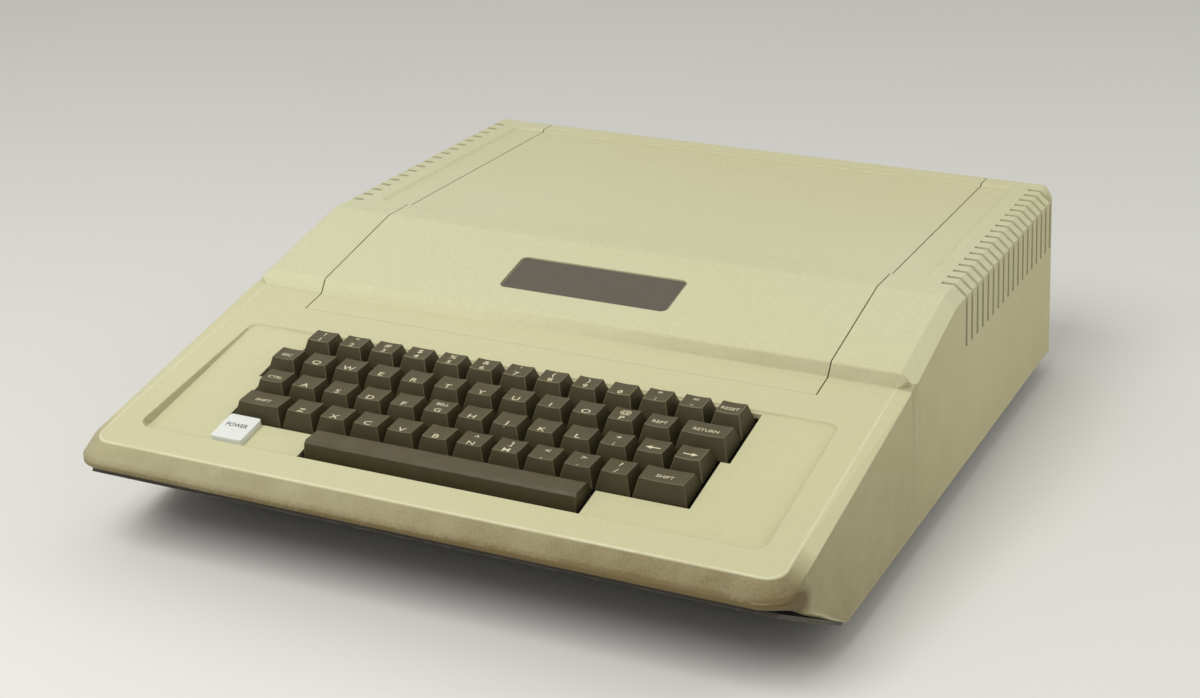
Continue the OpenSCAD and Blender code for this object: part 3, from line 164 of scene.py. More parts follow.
class Boards(bpy.types.PropertyGroup):
    resist: colour("Solder resist", "Green lacquer on the boards", 38, 92, 52)
    copper: colour("Traces", "Traces seen through the lacquer", 66, 128, 66)
    tin: colour("Tinned pads", "Solder on pads, legs and contacts", 190, 188, 180)
    gold: colour("Contacts", "Plating of the card slots' contacts", 196, 170, 104)
    chip: colour("Chips", "Moulded body of the chips", 40, 39, 38)
    slot: colour("Slots", "Green plastic of the card slots", 62, 106, 70)
    standoff: colour("Standoffs", "Pale plastic under the boards", 214, 212, 200)
    ribbon: colour("Ribbon", "Grey insulation of the flat cable", 150, 148, 140)
    ribbon_soil: colour("Ribbon soil", "Dust on the flat cable", 112, 108, 98)
    cable: colour("Cable", "Jacket of the supply cable", 70, 66, 60)
    speaker: colour("Speaker frame", "Metal of the loudspeaker's frame", 150, 146, 138)
    cone: colour("Cone", "Paper of the loudspeaker", 58, 52, 44)
    fibres: colour("Cone fibres", "Paler fibres in the cone's paper", 84, 76, 64)
    winding: colour("Winding", "Wire of the transformer", 150, 92, 52)
    winding_soil: colour("Winding soil", "Darkened lacquer on the wire", 108, 64, 38)
    key_plate: colour("Key plate", "Paint of the switches' plate", 46, 43, 38)
    switches: colour("Switches", "Plastic of the key switches", 52, 50, 47)
    leg_pitch: length("Leg pitch", "Distance between two legs of a chip", 2.54)
    leg_width: length("Leg width", "Width of a chip's leg", 1.1)
    leg_thickness: length("Leg thickness", "Thickness of a chip's leg", 0.28)
    leg_height: length("Leg height", "Height of the legs over the board", 3.4)
    leg_gap: length("Leg gap", "From a chip's side to its legs", 0.25)
    contacts: IntProperty(name="Contacts", description="Contact pairs in one slot", default=25, min=2)
    contact_width: length("Contact width", "Width of a slot contact", 1.3)
    contact_height: length("Contact height", "Height of a contact in its groove", 6.0)
    contact_gap: length("Contact gap", "Clearance of a contact in its slot", 0.02)
    groove: length("Groove", "Groove between a slot's rows of contacts", 1.8)
    ledge: length("Ledge", "From a slot's top down to its contacts", 1.0)


class Studio(bpy.types.PropertyGroup):
    floor: colour("Floor", "Plain pale floor", 231, 230, 226)
    key_light: power("Key light", "Power of the large lamp above", 18.0)
    key_place: position("Key light place", "Place of the large lamp", -0.25, -1.08, 1.38)
    fill_light: power("Fill light", "Power of the lamp behind", 2.8)
    fill_place: position("Fill light place", "Place of that lamp", 1.2, 0.75, 0.85)
    aim: position("Aim", "Where both lamps point", 0.0, 0.0, 0.05)
    lens: FloatProperty(name="Lens", description="Focal length in millimetres", default=63.297, min=1.0,
                        unit="CAMERA")
    camera: position("Camera", "Place of the camera", 0.45199, -0.97997, 0.47832)


GROUPS = {"case_plastic": CasePlastic, "key_caps": KeyCaps, "plate_and_lamp": NamePlateAndLamp,
          "base_and_rear": BaseAndRear, "boards": Boards, "studio": Studio}


# ---- node helpers

class Socket:
    """An output of a node. Arithmetic on it adds Math nodes to its tree."""

    def __init__(self, nodes, output):
        self.nodes, self.output = nodes, output

    def maths(self, operation, other=0.0):
        return self.nodes.put("ShaderNodeMath", {0: self, 1: other}, operation=operation)

    def __add__(self, other):
        return self.maths("ADD", other)

    def __sub__(self, other):
        return self.maths("SUBTRACT", other)

    def __rsub__(self, other):
        return self.nodes.put("ShaderNodeMath", {0: other, 1: self}, operation="SUBTRACT")

    def __mul__(self, other):
        return self.maths("MULTIPLY", other)

    def __abs__(self):
        return self.maths("ABSOLUTE")

    def most(self, other):
        return self.maths("MAXIMUM", other)

    def least(self, other):
        return self.maths("MINIMUM", other)

    def ramp(self, low, high, to_low=0.0, to_high=1.0):
        """A value that runs between two others from low to high, and stays level beyond them."""
        return self.nodes.put("ShaderNodeMapRange", {"Value": self, "From Min": low, "From Max": high,
                                                     "To Min": to_low, "To Max": to_high})

    def part(self, axis):
        return self.nodes.put("ShaderNodeSeparateXYZ", {0: self}, axis)


class Nodes:
    """Short ways to add nodes to one tree."""

    def __init__(self, tree):
        self.tree = tree

    def feed(self, socket, value):
        """Links an output to an input, or sets the input to a value."""
        if isinstance(value, Socket):
            self.tree.links.new(value.output, socket)
        else:
            socket.default_value = value

    def put(self, kind, inputs=None, output=0, **settings):
        """Adds a node with its settings and inputs, and gives one of its outputs if it has any."""
        node = self.tree.nodes.new(kind)
        for name, value in settings.items():
            setattr(node, name, value)
        for key, value in (inputs or {}).items():
            self.feed(node.inputs[key], value)
        return Socket(self, node.outputs[output]) if node.outputs else None

    def outputs_of(self, node):
        """The outputs of a node, by name."""
        return {output.name: Socket(self, output) for output in node.outputs}

    @property
    def place(self):
        return self.put("ShaderNodeTexCoord", output="Object")

    @property
    def facing(self):
        return self.put("ShaderNodeTexCoord", output="Normal")

    @property
    def flat_normal(self):
        return self.put("ShaderNodeNewGeometry", output="Normal")

    def noise(self, per_metre, detail=3.0, rough=0.55, place=None):
        return self.put("ShaderNodeTexNoise", {"Vector": place or self.place, "Scale": per_metre,
                                               "Detail": detail, "Roughness": rough}, "Fac")

    def lines(self, per_metre, stretch):
        """Fine lines for brushed or rubbed metal, 0 to 1."""
        place = self.put("ShaderNodeMapping", {"Vector": self.place, "Scale": stretch})
        return self.noise(per_metre, 3.0, 0.6, place)

    def waves(self, per_metre, distortion, place=None, **settings):
        return self.put("ShaderNodeTexWave", {"Vector": place or self.place, "Scale": per_metre,
                                              "Distortion": distortion}, "Fac", **settings)

    def blend(self, share, first, second, how="MIX"):
        return self.put("ShaderNodeMix", {0: share, 6: first, 7: second}, 2, data_type="RGBA",
                        blend_type=how)

    def dimmed(self, shade, factor, share=1.0):
        """A colour times a factor, or a share of the way there."""
        grey = self.put("ShaderNodeCombineColor", {0: factor, 1: factor, 2: factor})
        return self.blend(share, shade, grey, "MULTIPLY")

    def vector(self, operation, first, second=(0.0, 0.0, 0.0), output=0):
        return self.put("ShaderNodeVectorMath", {0: first, 1: second}, output, operation=operation)

    def effect(self, name, **inputs):
        """Adds a shared effect, and gives its outputs by name."""
        node = self.tree.nodes.new("ShaderNodeGroup")
        node.node_tree = effects()[name]
        for key, value in inputs.items():
            self.feed(node.inputs[key], value)
        return self.outputs_of(node)


class Finish(Nodes):
    """A material: the constants of its shader, and the nodes that lead to it."""

    def __init__(self, name, viewport, roughness, edges=None, **constants):
        """Edges is the radius and the breakup of the rounded, rubbed edges, where it has them."""
        self.made = bpy.data.materials.new(name)
        self.made.use_nodes = True
        self.made.diffuse_color = viewport
        super().__init__(self.made.node_tree)
        self.shader = self.tree.nodes["Principled BSDF"]
        self.wire(Roughness=roughness, **constants)
        self.rounded = None
        if edges:
            soft = self.effect("edges", Radius=edges[0], Breakup=edges[1])
            self.rounded, self.wear = soft["Normal"], soft["Wear"]

    def bump(self, height, distance, strength=1.0):
        inputs = {"Height": height, "Distance": distance, "Strength": strength}
        if self.rounded:
            inputs["Normal"] = self.rounded
        return self.put("ShaderNodeBump", inputs)

    def wire(self, **sockets):
        """Feeds the shader's inputs and gives the material. A name's underscore stands for its blank."""
        for name, value in sockets.items():
            self.feed(self.shader.inputs[name.replace("_", " ")], value)
        return self.made


# ---- shared effects

def node_group(name, kind, inputs, outputs):
    """A node group: its nodes, its inputs and the sockets of its outputs.

    Each socket has its kind, or a number that it starts with.
    """
    tree = bpy.data.node_groups.new(name, kind)
    for way, sockets in (("INPUT", inputs), ("OUTPUT", outputs)):
        for socket, value in sockets.items():
            number = isinstance(value, float)
            made = tree.interface.new_socket(socket, in_out=way,
                                             socket_type="NodeSocket" + ("Float" if number else value))
            if number:
                made.default_value = value
    nodes = Nodes(tree)
    given = nodes.outputs_of(tree.nodes.new("NodeGroupInput"))
    return nodes, given, tree.nodes.new("NodeGroupOutput").inputs


def soft_edges_group():
    """Edge wear: a normal rounded over the edges, and a mask of where the edges are rubbed."""
    nodes, given, result = node_group("Soft edges", "ShaderNodeTree", {"Radius": 0.0008, "Breakup": 120.0},
                                      {"Normal": "Vector", "Wear": "Float"})
    rounded = nodes.put("ShaderNodeBevel", {"Radius": given["Radius"]}, samples=6)
    edge = nodes.vector("DOT_PRODUCT", rounded, nodes.flat_normal, "Value").ramp(0.99, 0.86)
    nodes.feed(result["Normal"], rounded)
    nodes.feed(result["Wear"], edge*nodes.noise(given["Breakup"]).ramp(0.35, 0.62))
    return nodes.tree


def crevices_group():
    """Painted shade in corners and along feet of walls: a mask from how shut in a place is."""
    nodes, given, result = node_group("Crevices", "ShaderNodeTree", {"Reach": 0.006, "Breakup": 60.0},
                                      {"Painted_shade": "Float"})
    shut = nodes.put("ShaderNodeAmbientOcclusion", {"Distance": given["Reach"]}, "AO", samples=4,
                     only_local=True)
    patches = nodes.noise(given["Breakup"]).ramp(0.3, 0.7, 0.55, 1.0)
    nodes.feed(result["Painted_shade"], shut.ramp(0.92, 0.45)*patches)
    return nodes.tree


def grain_group():
    """Moulded grain: rounded pebbles with a finer tooth, as a height from 0 to 1."""
    nodes, given, result = node_group("Moulded grain", "ShaderNodeTree", {"Size": 0.0006}, {"Height": "Float"})
    per_metre = nodes.put("ShaderNodeMath", {0: 1.0, 1: given["Size"]}, operation="DIVIDE")
    pebbles = nodes.put("ShaderNodeTexVoronoi", {"Vector": nodes.place, "Scale": per_metre}, "Distance",
                        feature="SMOOTH_F1")
    nodes.feed(result["Height"], pebbles*0.7 + nodes.noise(per_metre*2.1, 2.0)*0.5)
    return nodes.tree


def ageing_group():
    """Ageing: a base colour drifting to an aged one in wide clouds, with fine dark specks."""
    nodes, given, result = node_group("Ageing", "ShaderNodeTree",
                                      {"Colour": "Color", "Aged": "Color", "Specks": 0.5}, {"Colour": "Color"})
    clouds = nodes.noise(4.0, 1.0, 0.4).ramp(0.3, 0.7, 0.0, 0.55)
    drifted = nodes.blend(clouds, given["Colour"], given["Aged"])
    mottled = nodes.dimmed(drifted, nodes.noise(420.0, 2.0, 0.5).ramp(0.3, 0.7, 0.965, 1.03))
    cells = nodes.put("ShaderNodeTexVoronoi", {"Vector": nodes.place, "Scale": 75.0}, "Distance")
    speck = cells.ramp(0.07, 0.045)*nodes.noise(60.0, 1.0).ramp(0.62, 0.7)*given["Specks"]
    nodes.feed(result["Colour"], nodes.blend(speck, mottled, screen(92, 80, 56)))
    return nodes.tree


@functools.cache
def effects():
    """The node groups that several materials share, built once."""
    return {"edges": soft_edges_group(), "crevices": crevices_group(), "grain": grain_group(),
            "ageing": ageing_group()}


# ---- mesh helpers

JOIN_WITHIN = 2e-6


def placed(name, data):
    """A new object in the scene."""
    holder = bpy.data.objects.new(name, data)
    bpy.context.scene.collection.objects.link(holder)
    return holder


def finished(name, mesh, body, replaced=(), materials=()):
    """Puts a mesh into the scene as a piece that rides on a body."""
    piece = placed(name, mesh)
    for made in materials:
        mesh.materials.append(made)
    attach(piece, body)
    if replaced:
        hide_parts(*replaced)


def plain_mesh(holder):
    """What an object looks like with its modifiers applied, as a plain mesh. The object goes."""
    bpy.context.view_layer.update()
    mesh = bpy.data.meshes.new_from_object(holder.evaluated_get(bpy.context.evaluated_depsgraph_get()))
    name = holder.name
    holder.modifiers.clear()
    bpy.data.batch_remove((holder, holder.data))
    mesh.name = name
    return mesh


def mesh_of(form, name):
    mesh = bpy.data.meshes.new(name)
    form.to_mesh(mesh)
    form.free()
    return mesh


def form_of(mesh):
    """A mesh as a form that can be edited. The mesh goes."""
    form = bmesh.new()
    form.from_mesh(mesh)
    bpy.data.meshes.remove(mesh)
    return form


def node_form(node):
    """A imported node's form with its loose triangles joined."""
    form = bmesh.new()
    form.from_mesh(frame["nodes"][node].data)
    bmesh.ops.remove_doubles(form, verts=form.verts, dist=JOIN_WITHIN)
    return form


def merged(node, flat=0.4):
    """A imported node's form with its flat faces made whole."""
    form = node_form(node)
    bmesh.ops.dissolve_limit(form, angle_limit=math.radians(flat), verts=form.verts, edges=form.edges)
    return form


def evaluated(form, name, modifiers, slots=0):
    """A form with modifiers applied to it, as a plain mesh. Each modifier is (kind, settings)."""
    mesh = mesh_of(form, name)
    for _ in range(slots):
        mesh.materials.append(None)
    holder = placed(name, mesh)
    for kind, settings in modifiers:
        modifier = holder.modifiers.new(kind.title(), kind)
        for key, value in settings.items():
            setattr(modifier, key, value)
    return plain_mesh(holder)


def smoothed(form, name, radius=0.0, segments=2, sharp=25, edge_slot=0):
    """A form with its sharp edges rounded, and smooth shading that stays flat on its flat faces."""
    modifiers = []
    if radius:
        modifiers.append(("BEVEL", {"width": radius, "segments": segments, "limit_method": "ANGLE",
                                    "angle_limit": math.radians(30), "miter_outer": "MITER_ARC",
                                    "material": edge_slot}))
    mesh = evaluated(form, name + "_rough", modifiers, edge_slot + 1)
    mesh.shade_smooth()
    mesh.set_sharp_from_angle(angle=math.radians(sharp))
    return evaluated(form_of(mesh), name,
                     [("WEIGHTED_NORMAL", {"mode": "FACE_AREA", "weight": 50, "keep_sharp": True})])


def dress(finish, *nodes):
    """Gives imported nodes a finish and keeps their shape."""
    for node in nodes:
        mesh = frame["nodes"][node].data
        mesh.materials.clear()
        mesh.materials.append(finish)


def islands(node):
    """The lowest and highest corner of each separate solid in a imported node."""
    form = node_form(node)
    left, boxes = set(form.verts), []
    while left:
        stack, found = [left.pop()], []
        while stack:
            vertex = stack.pop()
            found.append(vertex.co.copy())
            for edge in vertex.link_edges:
                other = edge.other_vert(vertex)
                if other in left:
                    left.discard(other)
                    stack.append(other)
        boxes.append([Vector([bound(c[i] for c in found) for i in range(3)]) for bound in (min, max)])
    form.free()
    return boxes


# ---- finishes

# Places on the case, in metres. A pair says where a mask starts and where it is full.
WEDGE_REAR, JOINT_WIDTH, SIDE_WALL = -0.0472, (0.0012, 0.002), (0.191, 0.19)
DECK_HALF_WIDTH, DECK_FRONT, DECK_CORNER = 0.181, -0.2174, 0.009
# the deck: where it yellows, where painted shade and a painted highlight lie on it, where its grain coarsens
YELLOWED_DECK, FALLOFF_DECK, HIGHLIT_DECK = (-0.052, -0.064), (-0.05, -0.058), (-0.056, -0.064)
COARSE_DECK, FALLOFF_FRONT, FALLOFF_RIGHT = (-0.06, -0.2), (-0.13, -0.21), (-0.02, 0.17)
LIP_LENGTH, LIP_HEIGHT = (-0.19, -0.214), (0.058, 0.046)
LIP_FOOT, LIP_WIDTH = (0.0538, 0.0508), (-0.17, 0.17)
STEP_TOP, STEP_FOOT, STEP_WIDTH = (-0.0545, -0.0556), (-0.0598, -0.0588), (-0.05, 0.13)
SIDE_LENGTH, SIDE_HEIGHT = (0.05, -0.2), (0.1, 0.02)
COVER_FRONT = (-0.1865, -0.1925)
FOLD_OUTSIDE, OFF_THE_DECK = 0.0002, (0.0002, 0.0014)

PAD_PITCH, PAD_RADIUS, TRACE_WIDTH = 2.54*MM, 0.62*MM, 0.3*MM
BLACK, WHITE = (0, 0, 0, 1), (1, 1, 1, 1)


def case_finish(looks):
    """Aged, grained plastic with dirt and rubbed edges from hands, painted shade and a painted highlight."""
    finish = Finish("Housing plastic", looks.colour, 0.6, (looks.edge_radius, 140.0),
                    Specular_IOR_Level=0.3)
    place = finish.place
    across, along, up = (place.part(axis) for axis in range(3))
    # the fine joint between wedge and block on each side stays free of painted crevice shade, and flat
    joint = abs(along - WEDGE_REAR).ramp(*JOINT_WIDTH).most(abs(across).ramp(*SIDE_WALL))
    # painted shade in the crevices, from ambient occlusion
    dirt = finish.effect("crevices", Reach=0.007, Breakup=45.0)["Painted_shade"]*joint
    aged = finish.effect("ageing", Colour=looks.colour, Aged=looks.aged, Specks=0.6)["Colour"]
    # the sides and the deck in front of the step have yellowed more than the top
    sides = abs(finish.facing.part(0)).ramp(0.8, 0.95, 0.0, 0.8)
    yellowed = finish.blend(along.ramp(*YELLOWED_DECK, 0.0, 0.35).most(sides), aged, looks.aged)
    # painted shade darkens the deck in front of the step towards its front and its right-hand side, where the
    # light falls off
    dull = along.ramp(*FALLOFF_FRONT, 1.0, 0.955)*across.ramp(*FALLOFF_RIGHT, 1.0, 0.975)
    yellowed = finish.dimmed(yellowed, dull, along.ramp(*FALLOFF_DECK))
    smudge = finish.noise(34.0, 5.0, 0.65).ramp(0.3, 0.7)
    pebbles = finish.noise(900.0, 2.0, 0.6).ramp(0.35, 0.65, 0.93, 1.04)
    # how far a place lies outside the keyboard deck's rounded outline
    aside = (abs(across) - (DECK_HALF_WIDTH - DECK_CORNER)).most(0.0)
    ahead = (DECK_FRONT + DECK_CORNER - along).most(0.0)
    away = finish.put("ShaderNodeCombineXYZ", {0: aside, 1: ahead})
    outside = finish.vector("LENGTH", away, output="Value") - DECK_CORNER
    # grime from palms on the front lip, darker towards its right-hand end, with painted shade towards its foot
    lip = outside.ramp(*OFF_THE_DECK)*along.ramp(*LIP_LENGTH)*up.ramp(*LIP_HEIGHT, 0.84, 1.08)
    # painted shade on the step, darker towards its right-hand end
    step = along.ramp(*STEP_TOP)*along.ramp(*STEP_FOOT)*across.ramp(*STEP_WIDTH, 0.0, 0.36)
    # painted shade low on the sides, darker towards the front
    low = along.ramp(*SIDE_LENGTH, 0.25, 1.0)*up.ramp(*SIDE_HEIGHT, 0.5, 1.0)*(sides*0.8)
    soil_and_shade_mask = (lip*across.ramp(*LIP_WIDTH, 0.6, 1.0)*0.98).most(step)
    soil_and_shade_mask = (soil_and_shade_mask + lip*up.ramp(*LIP_FOOT, 0.0, 0.3)).most(low)
    soil_and_shade_mask = soil_and_shade_mask*pebbles*smudge.ramp(0.0, 1.0, 0.82, 1.08)
    # the lip's grime and the painted shade, in one colour
    soiled = finish.blend(soil_and_shade_mask.least(0.98), yellowed, looks.soil_and_shade)
    # the crevice shade is painted in the grime colour
    soiled = finish.blend(dirt*0.34, soiled, looks.soil_and_shade)
    # a painted highlight along the deck's front edge, in the colour of the rubbed edges
    edge_highlight = abs(outside - FOLD_OUTSIDE).ramp(0.0008, 0.0003)*along.ramp(*HIGHLIT_DECK)
    edge_highlight = edge_highlight*finish.noise(90.0).ramp(0.3, 0.6, 0.2, 0.55)
    # the grain is coarser towards the front
    grain = finish.effect("grain", Size=looks.grain)["Height"]*along.ramp(*COARSE_DECK, 0.4, 1.25)
    finish.rounded = finish.put("ShaderNodeMix", {0: joint, 4: finish.flat_normal, 5: finish.rounded}, 1,
                                data_type="VECTOR")
    # rubbed edges, and the painted highlight on the deck's front edge, in one lighter colour
    return finish.wire(Base_Color=finish.blend((finish.wear*0.5).most(edge_highlight), soiled, looks.wear_and_highlight),
                       Normal=finish.bump(grain, looks.grain_depth, 0.8),
                       Roughness=smudge.ramp(0.0, 1.0, 0.52, 0.66))


def cap_finish(name, looks, shade):
    """Plastic of the caps: painted shade darkens the walls between the keys and leaves the tops lighter."""
    finish = Finish(name, shade, 0.45, (0.0007, 420.0), Specular_IOR_Level=0.3)
    aged = finish.effect("ageing", Colour=shade, Aged=shaded(shade, 0.82), Specks=0.0)["Colour"]
    # painted shade: the less a face looks up, the darker it is
    walls_shaded = finish.dimmed(aged, finish.facing.part(2).ramp(0.55, 0.92, 0.68, 1.0))
    grain = finish.effect("grain", Size=0.00032)["Height"]
    return finish.wire(Base_Color=finish.blend(finish.wear*0.7, walls_shaded, looks.wear_and_highlight),
                       Normal=finish.bump(grain, 0.00003, 0.5),
                       Roughness=finish.noise(90.0).ramp(0.3, 0.7, 0.38, 0.54))


def print_finish(name, shade):
    finish = Finish(name, shade, 0.5)
    rubbed = finish.noise(900.0).ramp(0.3, 0.7, 0.86, 1.04)
    return finish.wire(Base_Color=finish.dimmed(shade, rubbed),
                       Normal=finish.bump(finish.noise(3000.0), 0.00002))


def plate_finish(looks, lo, hi):
    """Satin paint with a brighter rim, inside the plate's corners."""
    finish = Finish("Name plate paint", looks.plate, 0.36, (0.0005, 300.0))
    from_side, from_end = ((hi[i] - lo[i])/2 - abs(finish.place.part(i) - (lo[i] + hi[i])/2)
                           for i in range(2))
    rim = from_side.least(from_end).maths("LESS_THAN", looks.rim_width)
    lines = finish.lines(90.0, (1.0, 14.0, 14.0)).ramp(0.25, 0.75)
    shade = finish.blend(lines, looks.plate, shaded(looks.plate, 0.8))
    shade = finish.blend(rim*0.75, shade, looks.rim)
    return finish.wire(Base_Color=finish.blend(finish.wear, shade, looks.rim),
                       Roughness=finish.noise(160.0).ramp(0.3, 0.7, 0.28, 0.44),
                       Normal=finish.bump(finish.noise(1500.0), 0.00003, 0.6))


def cover_finish(looks):
    """Milky plastic, with soiled scratches on its front."""
    finish = Finish("Lamp cover", looks.cover, 0.28, (0.0006, 500.0), Subsurface_Weight=0.25,
                    Subsurface_Radius=(0.002, 0.002, 0.0016), Subsurface_Scale=1.0)
    scuffs = finish.noise(220.0, 5.0, 0.7).ramp(0.6, 0.72)*finish.place.part(1).ramp(*COVER_FRONT)
    return finish.wire(Base_Color=finish.blend(scuffs*0.5, looks.cover, looks.scuffs),
                       Normal=finish.bump(finish.noise(1100.0), 0.00002, 0.5))


def painted_steel(looks):
    """Baked paint with dust on it, rubbed down to the steel along its edges."""
    finish = Finish("Base paint", looks.paint, 0.5, (0.0006, 220.0))
    wear = finish.wear*0.6
    shade = finish.blend(finish.noise(40.0, 4.0).ramp(0.35, 0.75, 0.0, 0.35), looks.paint, looks.dust)
    return finish.wire(Base_Color=finish.blend(wear, shade, looks.steel), Metallic=wear*0.9,
                       Roughness=finish.noise(320.0).ramp(0.3, 0.7, 0.42, 0.6),
                       Normal=finish.bump(finish.noise(1400.0, 2.0), 0.00006, 0.6))


def bare_metal(name, shade, roughness=0.32, lines=60.0):
    """Brushed metal, tarnished in patches and bright along its edges."""
    finish = Finish(name, shade, roughness, (0.0004, 300.0), Metallic=1.0)
    brushed = finish.lines(lines, (1.0, 16.0, 1.0))
    dull = finish.blend(finish.noise(30.0, 5.0, 0.7).ramp(0.4, 0.75)*0.45, shade, shaded(shade, 0.5))
    return finish.wire(Base_Color=finish.blend(finish.wear, dull, shade),
                       Roughness=brushed.ramp(0.25, 0.75, roughness - 0.08, roughness + 0.16),
                       Normal=finish.bump(brushed, 0.00004, 0.5))


def moulded(name, shade, roughness=0.45, size=0.0004):
    """A plain moulded plastic or rubber in one colour, with grain, dust and soft edges."""
    finish = Finish(name, shade, roughness, (0.0005, 260.0))
    aged = finish.effect("ageing", Colour=shade, Aged=shaded(shade, 1.35, 0.01), Specks=0.0)["Colour"]
    grain = finish.effect("grain", Size=size)["Height"]
    return finish.wire(Base_Color=finish.blend(finish.wear*0.6, aged, shaded(shade, 2, 0.03)),
                       Roughness=finish.noise(120.0).ramp(0.3, 0.7, roughness - 0.06, roughness + 0.1),
                       Normal=finish.bump(grain, 0.00004, 0.5))


def board_finish(looks):
    """Green lacquer over traces, with rows of tinned pads."""
    finish = Finish("Board", looks.resist, 0.3)

    def traces(place, long, wide):
        """Straight traces between cells of one size, in white on black."""
        return finish.put("ShaderNodeTexBrick", {
            "Vector": place, "Scale": 1.0, "Mortar Size": TRACE_WIDTH, "Brick Width": long,
            "Row Height": wide, "Color1": BLACK, "Color2": BLACK, "Mortar": WHITE}, "Color")

    cell = finish.vector("ABSOLUTE", finish.vector("MODULO", finish.place, (PAD_PITCH, PAD_PITCH, 1.0)))
    aside = finish.vector("SUBTRACT", cell, (PAD_PITCH/2, PAD_PITCH/2, 0.0))
    level = finish.vector("MULTIPLY", aside, (1.0, 1.0, 0.0))
    pads = finish.vector("LENGTH", level, output="Value").maths("LESS_THAN", PAD_RADIUS)
    pads = pads*finish.noise(45.0, 1.0).maths("GREATER_THAN", 0.54)
    turned = finish.put("ShaderNodeMapping", {"Vector": finish.place, "Rotation": (0.0, 0.0, math.pi/2)})
    which = finish.noise(22.0, 0.0).maths("GREATER_THAN", 0.5)
    lines = (traces(finish.place, 0.031, PAD_PITCH)*which
             + traces(turned, 0.043, PAD_PITCH*1.5)*(1.0 - which))
    lacquer = finish.blend(lines*0.8, looks.resist, looks.copper)
    return finish.wire(Base_Color=finish.blend(pads, lacquer, looks.tin), Metallic=pads*0.9,
                       Normal=finish.bump(lines + pads, 0.00005))


def ribbon_finish(looks):
    finish = Finish("Ribbon cable", looks.ribbon, 0.45)
    wires = finish.waves(250.51, 0.0, bands_direction="X")
    soil = finish.noise(50.0, 4.0).ramp(0.35, 0.7)*0.4
    return finish.wire(Base_Color=finish.blend(soil, looks.ribbon, looks.ribbon_soil),
                       Normal=finish.bump(wires, 0.0003))


def cone_finish(looks):
    """Pressed paper with rings round the middle of the cone."""
    finish = Finish("Cone paper", looks.cone, 0.85)
    lo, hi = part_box("speaker_cone")
    middle = (-(lo.x + hi.x)/2, -(lo.y + hi.y)/2, 0.0)
    moved = finish.put("ShaderNodeMapping", {"Vector": finish.place, "Location": middle})
    rings = finish.waves(120.0, 0.3, moved, wave_type="RINGS", rings_direction="Z")
    fibres = finish.noise(1500.0, 4.0)
    return finish.wire(Base_Color=finish.blend(fibres, looks.cone, looks.fibres),
                       Normal=finish.bump(rings*0.6 + fibres, 0.0003))


def winding_finish(looks):
    finish = Finish("Winding", looks.winding, 0.4)
    soil = finish.noise(60.0, 4.0)
    return finish.wire(Base_Color=finish.blend(soil, looks.winding, looks.winding_soil),
                       Normal=finish.bump(finish.waves(380.0, 0.4, bands_direction="Z"), 0.0002))


# ---- repeated pieces

ROW_SIZES = ("Width", "Thickness", "Height")


def row_tree(name, finish):
    """A node tree that stands a small bent strip on each point, turned by the point's own angle."""
    nodes, given, result = node_group(name, "GeometryNodeTree",
                                      {"Geometry": "Geometry", **dict.fromkeys(ROW_SIZES, 0.001)},
                                      {"Geometry": "Geometry"})
    width, thickness, height = (given[size] for size in ROW_SIZES)
    join = nodes.tree.nodes.new("GeometryNodeJoinGeometry")

    def block(sizes, move):
        """Adds a block of three sizes to the strip, moved along some axes."""
        size = nodes.put("ShaderNodeCombineXYZ", dict(enumerate(sizes)))
        cube = nodes.put("GeometryNodeMeshCube", {"Size": size})
        there = nodes.put("ShaderNodeCombineXYZ", move)
        moved = nodes.put("GeometryNodeTransform", {"Geometry": cube, "Translation": there})
        nodes.tree.links.new(moved.output, join.inputs[0])

    reach = thickness*4.0
    block((width, thickness, height), {2: height*0.5})
    block((width, reach, thickness), {1: reach*-0.375, 2: height})
    turn = nodes.put("GeometryNodeInputNamedAttribute", {"Name": "turn"}, data_type="FLOAT")
    stand = nodes.put("GeometryNodeInstanceOnPoints", {
        "Points": given["Geometry"], "Instance": Socket(nodes, join.outputs[0]),
        "Rotation": nodes.put("ShaderNodeCombineXYZ", {2: turn})})
    real = nodes.put("GeometryNodeRealizeInstances", {0: stand})
    last = nodes.put("GeometryNodeSetMaterial", {"Geometry": real, "Material": finish})
    nodes.feed(result["Geometry"], last)
    return nodes.tree


def stand_rows(name, tree, points, sizes):
    """Runs a row tree on points of (place, turn) and returns the plain mesh."""
    mesh = bpy.data.meshes.new(name + "_points")
    mesh.from_pydata([place for place, _ in points], [], [])
    mesh.attributes.new("turn", "FLOAT", "POINT").data.foreach_set("value", [turn for _, turn in points])
    holder = placed(name, mesh)
    modifier = holder.modifiers.new(tree.name, "NODES")
    modifier.node_group = tree
    sockets = {s.name: s.identifier for s in tree.interface.items_tree
               if s.item_type == "SOCKET" and s.in_out == "INPUT"}
    for size, value in zip(ROW_SIZES, sizes):
        modifier[sockets[size]] = value
    return plain_mesh(holder)


# ---- legends

# The keyboard's floor, tilted as the solids have it, and the caps on it from the rear row forward
KEY_FLOOR = Matrix.Translation((0, -0.0999, 0.0806)) @ Matrix.Rotation(math.radians(12.44), 4, "X")
FIRST_KEY_X = -0.11364
CAP_GAP, BACK_INSET, FRONT_INSET, INSET_FALL = 0.95*MM, 2.0*MM, 5.5*MM, 0.5*MM
BACK_HEIGHT, FRONT_HEIGHT, BACK_FALL, FRONT_FALL = 8.1*MM, 9.1*MM, 0.7*MM, 0.5*MM
LEGEND_DEPTH, FEEL_FROM, LETTER_WIDTH = 0.12*MM, 3*MM, 1.25
# Where a legend's middle lies, as a share of the way from a cap's rear edge to its front edge
ARROW_MIDDLE, WORD_MIDDLE, UPPER_MIDDLE = 0.62, 0.6, 0.31
ARROW = [(-1.25, -0.13), (0.2, -0.13), (0.2, -0.48), (1.25, 0.0), (0.2, 0.48), (0.2, 0.13), (-1.25, 0.13)]

